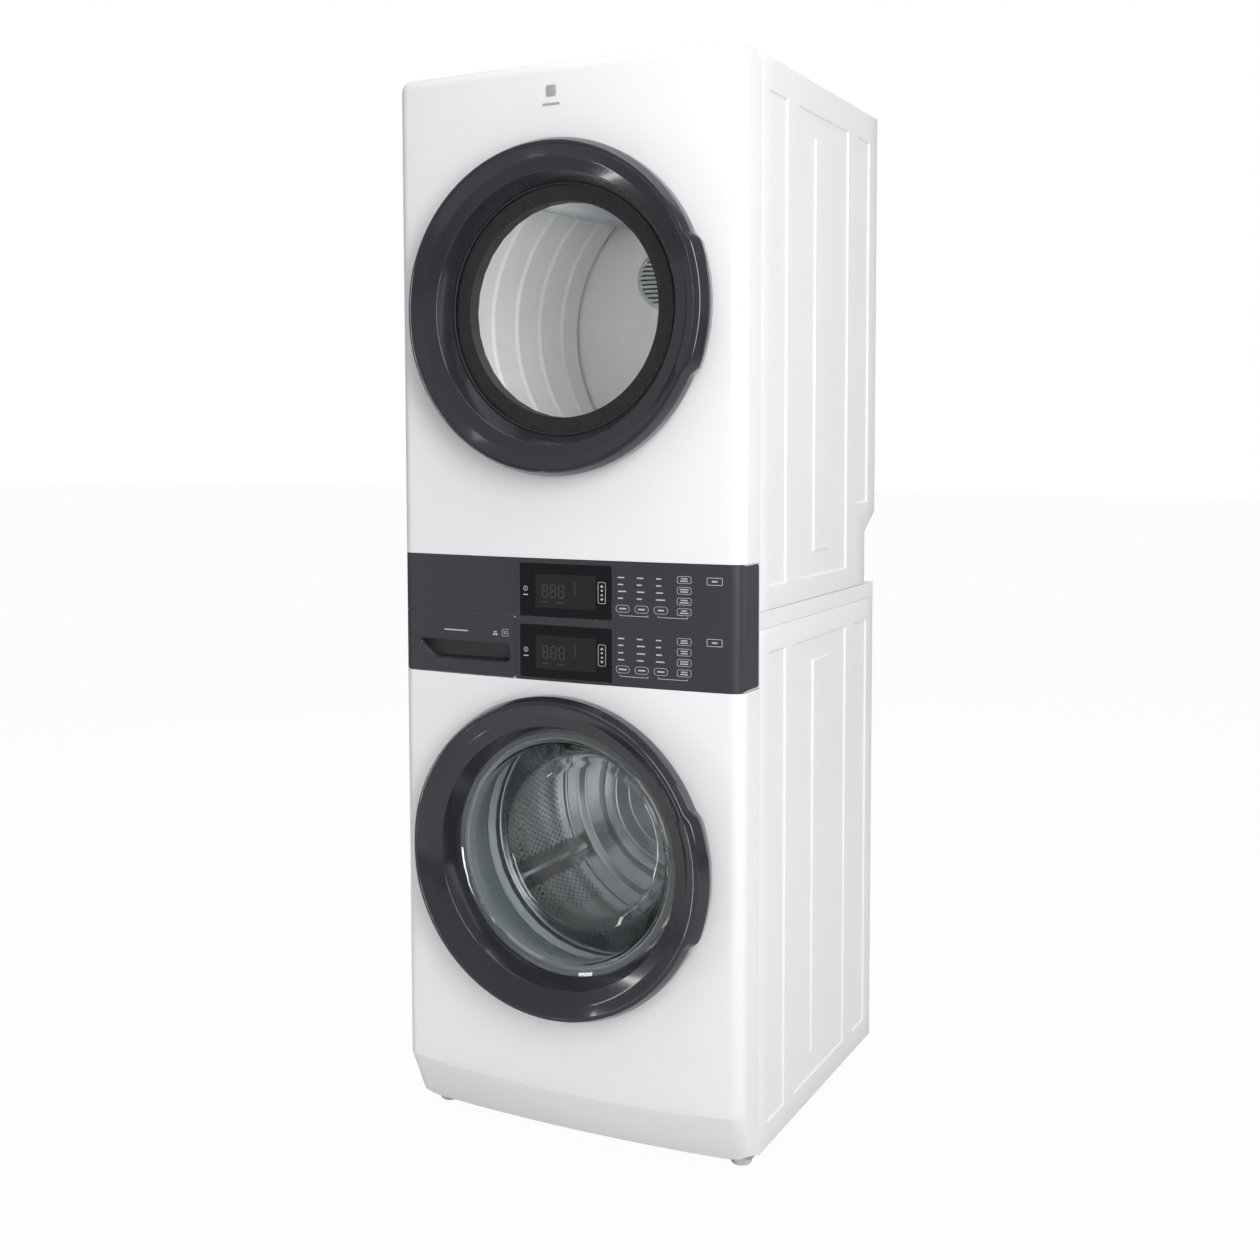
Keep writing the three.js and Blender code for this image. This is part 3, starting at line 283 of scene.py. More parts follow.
@dataclass(frozen=True)
class GlassFinish:
    """Clear glass that lets lamp light through."""

    name: str
    color: Corner = (0.92, 0.95, 0.96)
    index: float = 1.46
    haze: float = 0.985
    haze_scale: float = 9.0

    def material(self) -> Material:
        """Build the glass once and reuse it.

        Returns:
            The material.
        """
        made, new = start_material("finish_" + self.name)
        if not new:
            return made
        tree = made.node_tree
        shader = tree.nodes["Principled BSDF"]
        place = add_node(tree, "TexCoord").outputs["Object"]
        haze = add_node(tree, "TexNoise", {"Scale": self.haze_scale}, {"Vector": place}).outputs[0]
        tint = add_ramp(tree, haze, [c * self.haze for c in self.color], self.color)
        feed(shader, {"Transmission Weight": 1.0, "IOR": self.index, "Roughness": 0.0}, {"Base Color": tint})
        rays = add_node(tree, "LightPath")
        clear = add_node(tree, "BsdfTransparent", {"Color": (*self.color, 1)})
        mix = add_node(tree, "MixShader", links={
            0: rays.outputs["Is Shadow Ray"], 1: shader.outputs["BSDF"], 2: clear.outputs["BSDF"]})
        feed(tree.nodes["Material Output"], {}, {"Surface": mix.outputs["Shader"]})
        return made


ENAMEL = Finish("white_enamel", (0.80, 0.805, 0.82), 0.34, Grain.ENAMEL, variation=0.012, bump=0.05,
                scale=420.0, specular=0.45)
CONSOLE = Finish("slate_console", (0.036, 0.037, 0.047), 0.44, Grain.MOULDED, bump=0.12, scale=2600.0,
                 specular=0.3)
RING = Finish("slate_ring", (0.019, 0.020, 0.027), 0.15, Grain.MOULDED, bump=0.03, scale=2200.0, coat=0.7,
              specular=0.35)
GLOSS_BLACK = Finish("display_glass", (0.004, 0.004, 0.005), 0.16, Grain.ENAMEL, bump=0.01, scale=60.0)
SCREEN = Finish("display_screen", (0.008, 0.009, 0.009), 0.32, Grain.MOULDED, bump=0.02, scale=3000.0)
FRIT = Finish("window_band", (0.006, 0.006, 0.007), 0.2, Grain.ENAMEL, bump=0.02, scale=500.0)
PRINT = Finish("key_print", (0.46, 0.47, 0.50), 0.5, Grain.MOULDED, bump=0.03, scale=3000.0)
PRINT_DIM = Finish("dim_print", (0.055, 0.058, 0.055), 0.4, Grain.MOULDED, bump=0.02, scale=3000.0)
STAINLESS = Finish("stainless_drum", (0.68, 0.69, 0.70), 0.2, Grain.BRUSHED, metallic=1.0, bump=0.1,
                   scale=700.0)
DRUM_PALE = Finish("coated_drum", (0.74, 0.745, 0.745), 0.4, Grain.BRUSHED, metallic=0.15, bump=0.06,
                   scale=500.0)
# Painted shade: near-black colour for the discs that stand in for the dark seen through the drum's punched
# holes.
HOLE_SHADE = Finish("drum_hole_shade", (0.010, 0.010, 0.011), 0.6, Grain.CAST, variation=0.2, scale=900.0)
ZINC = Finish("zinc_sheet", (0.50, 0.52, 0.53), 0.42, Grain.SPANGLE, metallic=0.85, variation=0.10, bump=0.05,
              scale=90.0)
BRIGHT = Finish("bright_steel", (0.62, 0.63, 0.64), 0.28, Grain.BRUSHED, metallic=1.0, bump=0.08, scale=900.0)
IRON = Finish("cast_iron", (0.10, 0.10, 0.105), 0.6, Grain.CAST, metallic=0.4, variation=0.15, bump=0.3,
              scale=700.0)
ALUMINIUM = Finish("cast_aluminium", (0.62, 0.63, 0.64), 0.4, Grain.CAST, metallic=0.9, bump=0.15, scale=900.0)
GREY = Finish("grey_moulding", (0.36, 0.38, 0.40), 0.5, Grain.MOULDED, bump=0.15, scale=1800.0)
DARK = Finish("dark_moulding", (0.025, 0.026, 0.030), 0.42, Grain.MOULDED, bump=0.15, scale=1800.0)
PALE = Finish("pale_moulding", (0.72, 0.73, 0.74), 0.45, Grain.MOULDED, bump=0.1, scale=1500.0)
GASKET = Finish("gasket_rubber", (0.135, 0.145, 0.150), 0.4, Grain.MOULDED, bump=0.12, scale=1500.0)
RUBBER = Finish("black_rubber", (0.018, 0.018, 0.019), 0.62, Grain.MOULDED, bump=0.2, scale=1200.0)
BADGE = Finish("badge_metal", (0.44, 0.445, 0.46), 0.35, Grain.BRUSHED, metallic=0.2, scale=900.0)
BOWL_GLASS = GlassFinish("bowl_glass")
PANE_GLASS = GlassFinish("pane_glass", (0.97, 0.972, 0.97), 1.22)
AnyFinish = Finish | GlassFinish


# ------------------------------------------------------------------ shaping
def rounded(corners: Sequence[Corner], steps: int = 5) -> list[Pair]:
    """Round the corners of an outline with arcs.

    Args:
        corners: (a, b, radius) of each corner; a radius of 0 keeps it sharp.
        steps: Segments of each arc.

    Returns:
        The points of the closed outline.
    """
    points: list[Pair] = []
    count = len(corners)
    for i, (a, b, radius) in enumerate(corners):
        here = Vector((a, b))
        before = (Vector(corners[i - 1][:2]) - here)
        after = (Vector(corners[(i + 1) % count][:2]) - here)
        if radius <= 0 or before.length < 1e-9 or after.length < 1e-9:
            points.append((a, b))
            continue
        half = before.angle(after) / 2
        reach = min(radius / math.tan(max(half, 0.05)), before.length * 0.49, after.length * 0.49)
        radius = reach * math.tan(half)
        centre = here + (before.normalized() + after.normalized()).normalized() * (radius / math.sin(half))
        start = here + before.normalized() * reach - centre
        end = here + after.normalized() * reach - centre
        turn = start.angle_signed(end)
        for k in range(steps + 1):
            angle = -turn * k / steps
            c, s = math.cos(angle), math.sin(angle)
            points.append((centre.x + start.x * c - start.y * s, centre.y + start.x * s + start.y * c))
    return points


def linked(name: str, data: bpy.types.ID) -> Piece:
    """Add an object to the scene.

    Args:
        name: Its name.
        data: What it shows.

    Returns:
        The object.
    """
    made = bpy.data.objects.new(name, data)
    bpy.context.scene.collection.objects.link(made)
    return made


def mesh_from(name: str, bm: Solid) -> bpy.types.Mesh:
    """Write a mesh out and free it.

    Args:
        name: The mesh's name.
        bm: What is written.

    Returns:
        The mesh.
    """
    mesh = bpy.data.meshes.new(name)
    bm.to_mesh(mesh)
    bm.free()
    return mesh


def push_out(bm: Solid, faces: Sequence[bmesh.types.BMFace], move: Corner) -> Solid:
    """Extrude faces into a closed solid.

    Args:
        bm: The mesh.
        faces: The faces, which stay as one end.
        move: Which way and how far.

    Returns:
        The same mesh.
    """
    grown = bmesh.ops.extrude_face_region(bm, geom=faces, use_keep_orig=True)["geom"]
    moved = [v for v in grown if isinstance(v, bmesh.types.BMVert)]
    bmesh.ops.translate(bm, verts=moved, vec=move)
    bmesh.ops.recalc_face_normals(bm, faces=bm.faces)
    return bm


def slice_at(bm: Solid, point: Corner, normal: Corner) -> None:
    """Cut new edges into a mesh where a plane crosses it."""
    bmesh.ops.bisect_plane(bm, geom=bm.verts[:] + bm.edges[:] + bm.faces[:], plane_co=point, plane_no=normal)


def lathe(points: Sequence[Corner], centre: Corner, axis: Corner, steps: int, closed: bool) -> Solid:
    """Spin a line of points a full turn.

    Args:
        points: The line.
        centre: A point on the axis.
        axis: Direction of the axis.
        steps: Segments of the full turn.
        closed: Whether the last point joins the first.

    Returns:
        The new mesh.
    """
    bm = bmesh.new()
    verts = [bm.verts.new(point) for point in points]
    edges = [bm.edges.new(pair) for pair in zip(verts, verts[1:])]
    if closed:
        edges.append(bm.edges.new((verts[-1], verts[0])))
    bmesh.ops.spin(bm, geom=verts + edges, cent=centre, axis=axis, dvec=(0, 0, 0), angle=math.tau,
                   steps=steps, use_merge=True)
    bmesh.ops.remove_doubles(bm, verts=bm.verts, dist=1e-6)
    bmesh.ops.recalc_face_normals(bm, faces=bm.faces)
    return bm


def turned(profile: Sequence[Pair], z: float, steps: int = 128, x: float = 0.0,
           closed: bool = True) -> Solid:
    """Spin a (radius, y) profile round the front-to-back line through (x, z).

    Args:
        profile: Points of the profile; with closed, the last joins the first.
        z: Height of the axis.
        steps: Segments of the full turn.
        x: Sideways place of the axis.
        closed: Whether the profile is a loop clear of the axis.

    Returns:
        The new mesh.
    """
    return lathe([(x + radius, y, z) for radius, y in profile], (x, 0, z), (0, 1, 0), steps, closed)


def upright(profile: Sequence[Pair], x: float, y: float, steps: int) -> Solid:
    """Spin a (radius, z) profile round the upright line through (x, y)."""
    return lathe([(x + radius, y, z) for radius, z in profile], (x, y, 0), (0, 0, 1), steps, False)


def raised(outline: Sequence[Pair], y0: float, y1: float) -> Solid:
    """Extrude a front-view (x, z) outline from y0 to y1.

    Args:
        outline: The closed outline.
        y0: Front of the solid.
        y1: Back of the solid.

    Returns:
        The new mesh.
    """
    bm = bmesh.new()
    face = bm.faces.new([bm.verts.new((x, y0, z)) for x, z in outline])
    return push_out(bm, [face], (0, y1 - y0, 0))


def box_mesh(low: Sequence[float], high: Sequence[float]) -> Solid:
    """Make a box.

    Args:
        low: Its lowest corner.
        high: Its highest corner.

    Returns:
        The box.
    """
    bm = bmesh.new()
    bmesh.ops.create_cube(bm, size=1.0)
    bmesh.ops.scale(bm, verts=bm.verts, vec=[b - a for a, b in zip(low, high)])
    bmesh.ops.translate(bm, verts=bm.verts, vec=[(a + b) / 2 for a, b in zip(low, high)])
    return bm


def pill(x: float, z: float, width: float, height: float, radius: float) -> list[Pair]:
    """Return a rectangle with rounded corners round (x, z)."""
    a, b = width / 2, height / 2
    return rounded([(x + i * a, z + k * b, radius) for i, k in ((-1, -1), (1, -1), (1, 1), (-1, 1))])


def merged(meshes: Iterable[Solid]) -> Solid:
    """Join several meshes into one.

    Args:
        meshes: The meshes; each is freed.

    Returns:
        One mesh.
    """
    whole = bmesh.new()
    for part in meshes:
        spare = mesh_from("spare", part)
        whole.from_mesh(spare)
        bpy.data.meshes.remove(spare)
    return whole


def soften(bm: Solid, width: float, segments: int = 2, angle: float = 0.6) -> Solid:
    """Bevel the edges that are sharper than an angle.

    Args:
        bm: The mesh.
        width: Bevel width.
        segments: Segments across the bevel.
        angle: Least angle between the two faces, in radians.

    Returns:
        The same mesh.
    """
    sharp = [e for e in bm.edges if len(e.link_faces) == 2 and e.calc_face_angle(0) > angle]
    bmesh.ops.bevel(bm, geom=sharp, offset=width, segments=segments, profile=0.5, affect="EDGES",
                    material=-1, clamp_overlap=True)
    return bm


def cut_away(piece: Piece, cutters: Sequence[Solid], keep: bool = False) -> None:
    """Cut solids out of a piece, or keep only what lies within them.

    Args:
        piece: The piece.
        cutters: The solids; each is freed.
        keep: Whether what lies within them is kept instead.
    """
    mesh = mesh_from("cutter", merged(cutters))
    tool = linked("cutter", mesh)
    change = piece.modifiers.new("cut", "BOOLEAN")
    change.operation = "INTERSECT" if keep else "DIFFERENCE"
    change.solver = "EXACT"
    change.object = tool
    graph = bpy.context.evaluated_depsgraph_get()
    shaped = bpy.data.meshes.new_from_object(piece.evaluated_get(graph))
    piece.modifiers.clear()
    old = piece.data
    piece.data = shaped
    bpy.data.meshes.remove(old)
    bpy.data.objects.remove(tool)
    bpy.data.meshes.remove(mesh)


def piece_from(name: str, bm: Solid, finish: AnyFinish, body: str | None,
               replaces: Sequence[str] = (), smooth: float | None = 32.0) -> Piece:
    """Turn a mesh into a finished piece that rides on a body.

    Args:
        name: The piece's name.
        bm: Its mesh, which is freed.
        finish: Its finish.
        body: The CAD body it rides on, or None for a piece that sits between two bodies and is left unattached.
        replaces: The CAD nodes it stands for.
        smooth: Angle in degrees past which its edges stay sharp, or None for flat faces.

    Returns:
        The piece.
    """
    mesh = mesh_from(name, bm)
    piece = linked(name, mesh)
    mesh.materials.append(finish.material())
    if smooth is not None:
        shade(piece, smooth)
    if body:
        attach(piece, body)
    if replaces:
        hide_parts(*replaces)
    log.info("made %s", name)
    return piece


def shade(piece: Piece, degrees: float = 32.0) -> Piece:
    """Smooth a piece's shading except at edges sharper than an angle.

    Args:
        piece: The piece.
        degrees: The angle.

    Returns:
        The same piece.
    """
    piece.data.shade_smooth()
    piece.data.set_sharp_from_angle(angle=math.radians(degrees))
    return piece


def soft_edges(piece: Piece, width: float, degrees: float) -> None:
    """Give a piece's edges a small round.

    Args:
        piece: The piece.
        width: Width of the round.
        degrees: Least angle of an edge that gets one.
    """
    edge = piece.modifiers.new("soft_edges", "BEVEL")
    edge.width = width
    edge.segments = 3
    edge.angle_limit = math.radians(degrees)


def thicken(piece: Piece, sheet: float) -> None:
    """Give an open sheet its thickness, inwards."""
    wall = piece.modifiers.new("wall", "SOLIDIFY")
    wall.thickness, wall.offset = sheet, -1.0


# ------------------------------------------------------------------ bowed front
@dataclass
class BowedFront:
    """The bowed sheets of the front: two white panels, the console and the drawer front."""

    layout: Layout
    sheet: float = 0.0015
    hole: float = 0.236
    roof_radius: float = 0.022
    kick_bottom: float = 0.024
    kick_fold: float = 0.105
    kick_arch: float = 0.010
    kick_lean: float = 0.0356
    kick_side_lean: float = 0.0084
    kick_wrap: float = 0.0763
    toe_from: float = 0.30
    toe_width: float = 0.043
    toe_rise: float = 0.012
    slot_left: float = 0.246
    slot_right: float = 0.269
    slot_half: float = 0.013
    bow_steps: int = 28
    corner_steps: int = 8

    def line(self, inset: float, back: float) -> list[Pair]:
        """Plan line of the front, from the right wrap to the left one.

        Args:
            inset: How far in from the outside.
            back: Where both wraps end.

        Returns:
            Points in (x, y).
        """
        lay = self.layout
        half = lay.half_width - inset
        radius = lay.corner - inset
        flat = half - radius
        corner_y = lay.face_y + inset + lay.bow_at(flat) + radius
        right = [(half, back)]
        for i in range(self.corner_steps):
            angle = math.pi / 2 * i / self.corner_steps
            right.append((flat + radius * math.cos(angle), corner_y - radius * math.sin(angle)))
        span = [flat * (1 - 2 * i / self.bow_steps) for i in range(self.bow_steps + 1)]
        across = [(x, lay.face_y + inset + lay.bow_at(x)) for x in span]
        left = [(-x, y) for x, y in reversed(right)]
        return right + across + left

    def shell(self, outer: float, inner: float, back: float, low: float, high: float) -> Solid:
        """Raise a bowed sheet between two plan lines.

        Args:
            outer: Inset of the outside.
            inner: Inset of the inside.
            back: Where the wraps end.
            low: Bottom.
            high: Top.

        Returns:
            The sheet.
        """
        bm = bmesh.new()
        outline = self.line(outer, back) + self.line(inner, back)[::-1]
        rings = [bm.verts.new((x, y, low)) for x, y in outline]
        loop = [bm.edges.new((rings[i - 1], rings[i])) for i in range(len(rings))]
        grown = bmesh.ops.extrude_edge_only(bm, edges=loop)["geom"]
        top = [v for v in grown if isinstance(v, bmesh.types.BMVert)]
        bmesh.ops.translate(bm, verts=top, vec=(0, 0, high - low))
        count = len(outline) // 2
        bm.verts.ensure_lookup_table()
        upper = sorted(top, key=lambda v: min(
            range(len(outline)), key=lambda i: (outline[i][0] - v.co.x) ** 2 + (outline[i][1] - v.co.y) ** 2))
        for ring in (rings, upper):
            for i in range(count - 1):
                bm.faces.new((ring[i], ring[i + 1], ring[-2 - i], ring[-1 - i]))
        bmesh.ops.recalc_face_normals(bm, faces=bm.faces)
        return bm

    def door_cutters(self, z: float) -> list[Solid]:
        """Shape the door hole and the hook slot.

        Args:
            z: Height of the door's middle.

        Returns:
            The two solids to cut away.
        """
        face = self.layout.face_y
        disc = turned([(0, face - 0.02), (self.hole, face - 0.02), (self.hole, face + 0.05), (0, face + 0.05)],
                      z, 160, closed=False)
        slot = box_mesh((self.slot_left, face - 0.02, z - self.slot_half),
                        (self.slot_right, face + 0.05, z + self.slot_half))
        return [disc, slot]

    def washer_panel(self) -> None:
        """Make the washer's front, with its kick leaning back under an arched fold."""
        lay = self.layout
        bottom, fold = self.kick_bottom, self.kick_fold
        bm = self.shell(0, self.sheet, lay.seam_y - 0.0003, bottom, lay.console_low - 0.0004)
        for level in (fold - 0.002, fold + 0.002, fold + 0.03):
            slice_at(bm, (0, 0, level), (0, 0, 1))
        for vert in bm.verts:
            side = min(1.0, (vert.co.x / lay.half_width) ** 2)
            reach = min(1.0, max(0.0, (lay.seam_y - vert.co.y) / self.kick_wrap))
            depth = min(1.0, max(0.0, (fold - vert.co.z) / (fold - bottom)))
            if bottom + 0.001 < vert.co.z < fold + 0.01:
                vert.co.z += self.kick_arch * side
            vert.co.y += (self.kick_lean + self.kick_side_lean * side) * reach * depth
            past = abs(vert.co.x) - self.toe_from
            if vert.co.z < bottom + 0.001 and past > 0:
                vert.co.z += self.toe_rise * (past / self.toe_width) ** 2 * reach
        panel = piece_from("washer_front", bm, ENAMEL, "cabinet", ["washer_front_panel"], None)
        cut_away(panel, self.door_cutters(lay.washer_door))
        shade(panel, 14)

    def dryer_panel(self) -> None:
        """Make the dryer's front, rolled over at its top edge."""
        lay = self.layout
        low = lay.console_high + 0.0004
        solid = self.roll(self.block(0, lay.seam_y - 0.0003, low, lay.top), 0.0)
        panel = piece_from("dryer_front", solid, ENAMEL, "cabinet", ["dryer_front_panel"], None)
        sheet = self.sheet
        hollow = self.block(sheet, lay.seam_y + 0.02, low - 0.02, lay.top - sheet)
        cut_away(panel, [self.roll(hollow, sheet)])
        cut_away(panel, self.door_cutters(lay.dryer_door))
        shade(panel)

    def block(self, inset: float, back: float, low: float, high: float) -> Solid:
        """Fill a solid from the bowed line to the back.

        Args:
            inset: How far in from the outside.
            back: Its rear.
            low: Bottom.
            high: Top.

        Returns:
            The solid.
        """
        bm = bmesh.new()
        face = bm.faces.new([bm.verts.new((x, y, low)) for x, y in self.line(inset, back)])
        return push_out(bm, [face], (0, 0, high - low))

    def roll(self, bm: Solid, inset: float) -> Solid:
        """Round the top edge of a filled front.

        Args:
            bm: The solid.
            inset: How far inside the outside sheet it lies.

        Returns:
            The same mesh.
        """
        high = max(v.co.z for v in bm.verts)
        back = max(v.co.y for v in bm.verts)
        edges = [e for e in bm.edges if all(abs(v.co.z - high) < 1e-6 for v in e.verts)
                 and not all(abs(v.co.y - back) < 1e-6 for v in e.verts)]
        bmesh.ops.bevel(bm, geom=edges, offset=self.roof_radius - inset, segments=7, profile=0.5,
                        affect="EDGES", material=-1, clamp_overlap=False)
        return bm

    def build(self) -> None:
        """Make both white panels."""
        self.washer_panel()
        self.dryer_panel()


# ------------------------------------------------------------------ cabinet sides
@dataclass(frozen=True)
class Pressing:
    """One pressed field of a side sheet, in metres."""

    y0: float
    y1: float
    z0: float
    z1: float


@dataclass
class CabinetSides:
    """The four pressed side sheets."""

    layout: Layout
    sheet: float = 0.0015
    depth: float = 0.003
    slope: float = 0.0035

    def fields(self, low: float, high: float, rear_low: float) -> list[Pressing]:
        """Place the three recessed fields of a side.

        Args:
            low: Their bottom.
            high: Their top.
            rear_low: Bottom of the rear one.

        Returns:
            The fields, front to back.
        """
        seam = self.layout.seam_y
        spans = ((0.040, 0.125, low), (0.175, 0.457, low), (0.510, 0.587, rear_low))
        return [Pressing(seam + start, seam + end, bottom, high) for start, end, bottom in spans]

    def sheet_mesh(self, outline: Sequence[Pair], fields: Sequence[Pressing], plateau: Pressing,
                   side: int) -> Solid:
        """Press the fields into a flat sheet.

        Args:
            outline: Edge of the sheet in (y, z).
            fields: Recessed fields.
            plateau: The field raised again inside the middle one.
            side: -1 on the left, 1 on the right.

        Returns:
            The open sheet, still without thickness.
        """
        x = self.layout.half_width
        bm = bmesh.new()
        bm.faces.new([bm.verts.new((x, y, z)) for y, z in outline])
        for area in fields:
            self.press(bm, area, -self.depth, x)
        self.press(bm, plateau, self.depth, x - self.depth)
        for face in bm.faces:
            if face.normal.x < 0:
                face.normal_flip()
        if side < 0:
            bmesh.ops.mirror(bm, geom=bm.verts[:] + bm.edges[:] + bm.faces[:], axis="X", merge_dist=-1)
            left = [f for f in bm.faces if f.calc_center_median().x > 0]
            bmesh.ops.delete(bm, geom=left, context="FACES")
        return bm

    def press(self, bm: Solid, area: Pressing, depth: float, level: float) -> None:
        """Push one field in or out, with sloped walls.

        Args:
            bm: The sheet.
            area: The field.
            depth: How far, outwards positive.
            level: The x of the faces the field lies in.
        """
        planes = [((0, area.y0, 0), (0, 1, 0)), ((0, area.y1, 0), (0, 1, 0)),
                  ((0, 0, area.z0), (0, 0, 1)), ((0, 0, area.z1), (0, 0, 1))]
        for point, normal in planes:
            near = [f for f in bm.faces if abs(f.calc_center_median().x - level) < 2e-4]
            geom = {g for f in near for g in [f, *f.edges, *f.verts]}
            bmesh.ops.bisect_plane(bm, geom=list(geom), plane_co=point, plane_no=normal, dist=1e-6)
        inside = [f for f in bm.faces if area.y0 < f.calc_center_median().y < area.y1
                  and area.z0 < f.calc_center_median().z < area.z1
                  and abs(f.calc_center_median().x - level) < 2e-4]
        bm.normal_update()
        facing = 1 if inside[0].normal.x > 0 else -1
        bmesh.ops.inset_region(bm, faces=inside, thickness=self.slope, depth=depth * facing,
                               use_even_offset=True, use_boundary=True)

    def make(self, name: str, outline: Sequence[Pair], fields: Sequence[Pressing], inner: float,
             side: int) -> None:
        """Make one side sheet.

        Args:
            name: The CAD node it stands for.
            outline: Edge of the sheet in (y, z).
            fields: Recessed fields.
            inner: Height of the plateau's margin inside the middle field.
            side: -1 on the left, 1 on the right.
        """
        seam = self.layout.seam_y
        plateau = Pressing(seam + 0.268, seam + 0.355, fields[1].z0 + inner, fields[1].z1 - inner)
        bm = self.sheet_mesh(outline, fields, plateau, side)
        bmesh.ops.recalc_face_normals(bm, faces=bm.faces)
        if sum(f.normal.x * f.calc_area() for f in bm.faces) * side < 0:
            bmesh.ops.reverse_faces(bm, faces=bm.faces)
        panel = piece_from(name + "_sheet", bm, ENAMEL, "cabinet", [name], 40)
        thicken(panel, self.sheet)
        soft_edges(panel, 0.0014, 18)

    def build(self) -> None:
        """Make the four sheets."""
        lay = self.layout
        low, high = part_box("washer_side_right")[0][2], lay.washer_top - 0.0003
        flat = [(lay.seam_y, low), (lay.washer_rear, low), (lay.washer_rear, high), (lay.seam_y, high)]
        flat_fields = self.fields(low + 0.043, high - 0.043, low + 0.043)
        base = lay.rail_top + 0.0003
        step = lay.dryer_rear - 0.0645
        stepped = [(lay.seam_y, base), (step, base), (step, base + 0.107), (lay.dryer_rear, base + 0.146),
                   (lay.dryer_rear, lay.roof), (lay.seam_y, lay.roof)]
        stepped_fields = self.fields(base + 0.040, lay.roof - 0.054, base + 0.166)
        for side, word in ((-1, "left"), (1, "right")):
            self.make("washer_side_" + word, flat, flat_fields, 0.042, side)
            self.make("dryer_side_" + word, stepped, stepped_fields, 0.045, side)


# ------------------------------------------------------------------ console
@dataclass
class Console:
    """The slate control panel with its displays, touch keys and drawer front."""

    layout: Layout
    front: BowedFront
    thickness: float = 0.0024
    print_height: float = 0.00035
    corner: float = 0.008
    drawer_right: float = -0.092
    drawer_top: float = 0.112
    start_key: float = 0.293
    power_mark: float = -0.070
    arrow_keys: float = 0.083
    glass_proud: float = 0.0004
    screen_proud: float = 0.0005
    sink: float = 0.00002
    pull_depth: float = 0.022
    displays: tuple[str, str] = ("washer_display", "dryer_display")
    columns: tuple[float, float, float, float] = (0.122, 0.158, 0.194, 0.238)
    brackets: tuple[Pair, Pair] = ((0.118, 0.171), (0.190, 0.244))

    def face(self, x: float) -> float:
        """Return the y of the console's surface at x."""
        return self.layout.face_y + self.layout.bow_at(x)

    def rounded_block(self, left: float, right: float, low: float, high: float) -> Solid:
        """Return a deep block whose front view has rounded corners."""
        y0, y1 = self.layout.face_y - 0.03, self.layout.seam_y + 0.03
        return raised(pill((left + right) / 2, (low + high) / 2, right - left, high - low, self.corner), y0, y1)

    def windows(self) -> list[tuple[float, float, float, float]]:
        """Return each display's (left, right, bottom, top)."""
        boxes = [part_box(node) for node in self.displays]
        return [(low[0], high[0], low[2], high[2]) for low, high in boxes]

    def panel(self) -> None:
        """Make the slate panel with its two windows and the drawer's opening."""
        lay = self.layout
        back = lay.seam_y - 0.0066
        bm = self.front.shell(0, self.thickness, back, lay.console_low, lay.console_high)
        panel = piece_from("console_panel", bm, CONSOLE, "cabinet", ["control_panel"], None)
        half = lay.half_width + 1e-4
        cut_away(panel, [self.rounded_block(-half, half, lay.console_low, lay.console_high)], keep=True)
        y0, y1 = lay.face_y - 0.02, lay.face_y + 0.03
        cutters = [raised(pill((a + b) / 2, (c + d) / 2, b - a + 0.0008, d - c + 0.0008, 0.003), y0, y1)
                   for a, b, c, d in self.windows()]
        cutters.append(box_mesh((-0.4, lay.face_y - 0.02, lay.console_low - 0.02),
                                (self.drawer_right + 0.0006, lay.seam_y + 0.02,
                                 lay.console_low + self.drawer_top + 0.0006)))
        cut_away(panel, cutters)
        self.ease(panel)

    def ease(self, panel: Piece) -> None:
        """Round a slate panel's edges and smooth it."""
        soft_edges(panel, 0.0009, 50)
        shade(panel)

    def glass(self) -> None:
        """Make the two black display windows with their screens."""
        for node, (a, b, c, d) in zip(self.displays, self.windows()):
            outline = pill((a + b) / 2, (c + d) / 2, b - a - 0.0004, d - c - 0.0004, 0.0026)
            bm = self.plate(outline, -self.glass_proud, 0.0022)
            piece_from(node + "_glass", bm, GLOSS_BLACK, "cabinet", [node], 8)
            mid = (c + d) / 2
            screen = self.plate(pill(0.0105, mid - 0.001, 0.121, 0.060, 0.002), -0.00055, 0.0)
            piece_from(node + "_screen", screen, SCREEN, "cabinet")

    def plate(self, outline: Sequence[Pair], proud: float, depth: float) -> Solid:
        """Make a thin plate that follows the bowed face.

        Args:
            outline: Its outline in (x, z).
            proud: Front, measured back from the face.
            depth: Back, measured back from the face.

        Returns:
            The plate.
        """
        bm = raised(outline, proud, depth)
        low, high = min(x for x, _ in outline), max(x for x, _ in outline)
        cuts = int((high - low) / 0.03)
        for i in range(1, cuts + 1):
            slice_at(bm, (low + (high - low) * i / (cuts + 1), 0, 0), (1, 0, 0))
        for vert in bm.verts:
            vert.co.y += self.face(vert.co.x)
        return bm

    def frame_plate(self, x: float, z: float, width: float, height: float, radius: float,
                    line: float = 0.0007) -> Solid:
        """Make a thin outlined key.

        Args:
            x: Middle across.
            z: Middle height.
            width: Outside width.
            height: Outside height.
            radius: Corner radius.
            line: Width of the line.

        Returns:
            The outline as a thin ring.
        """
        bm = bmesh.new()
        outer = [bm.verts.new((a, 0, b)) for a, b in pill(x, z, width, height, radius)]
        inner = [bm.verts.new((a, 0, b)) for a, b in
                 pill(x, z, width - 2 * line, height - 2 * line, max(radius - line, 0.0002))]
        rings = [[bm.edges.new((ring[i - 1], ring[i])) for i in range(len(ring))] for ring in (outer, inner)]
        bmesh.ops.bridge_loops(bm, edges=rings[0] + rings[1])
        push_out(bm, bm.faces[:], (0, -self.print_height, 0))
        for vert in bm.verts:
            vert.co.y += self.face(vert.co.x) - self.sink
        return bm

    def bar(self, x: float, z: float, width: float, height: float = 0.0022, lift: float = 0.0) -> Solid:
        """Make a short printed bar, which stands for a word."""
        return self.plate(pill(x, z, width, height, height * 0.3), -self.print_height - lift, -self.sink - lift)

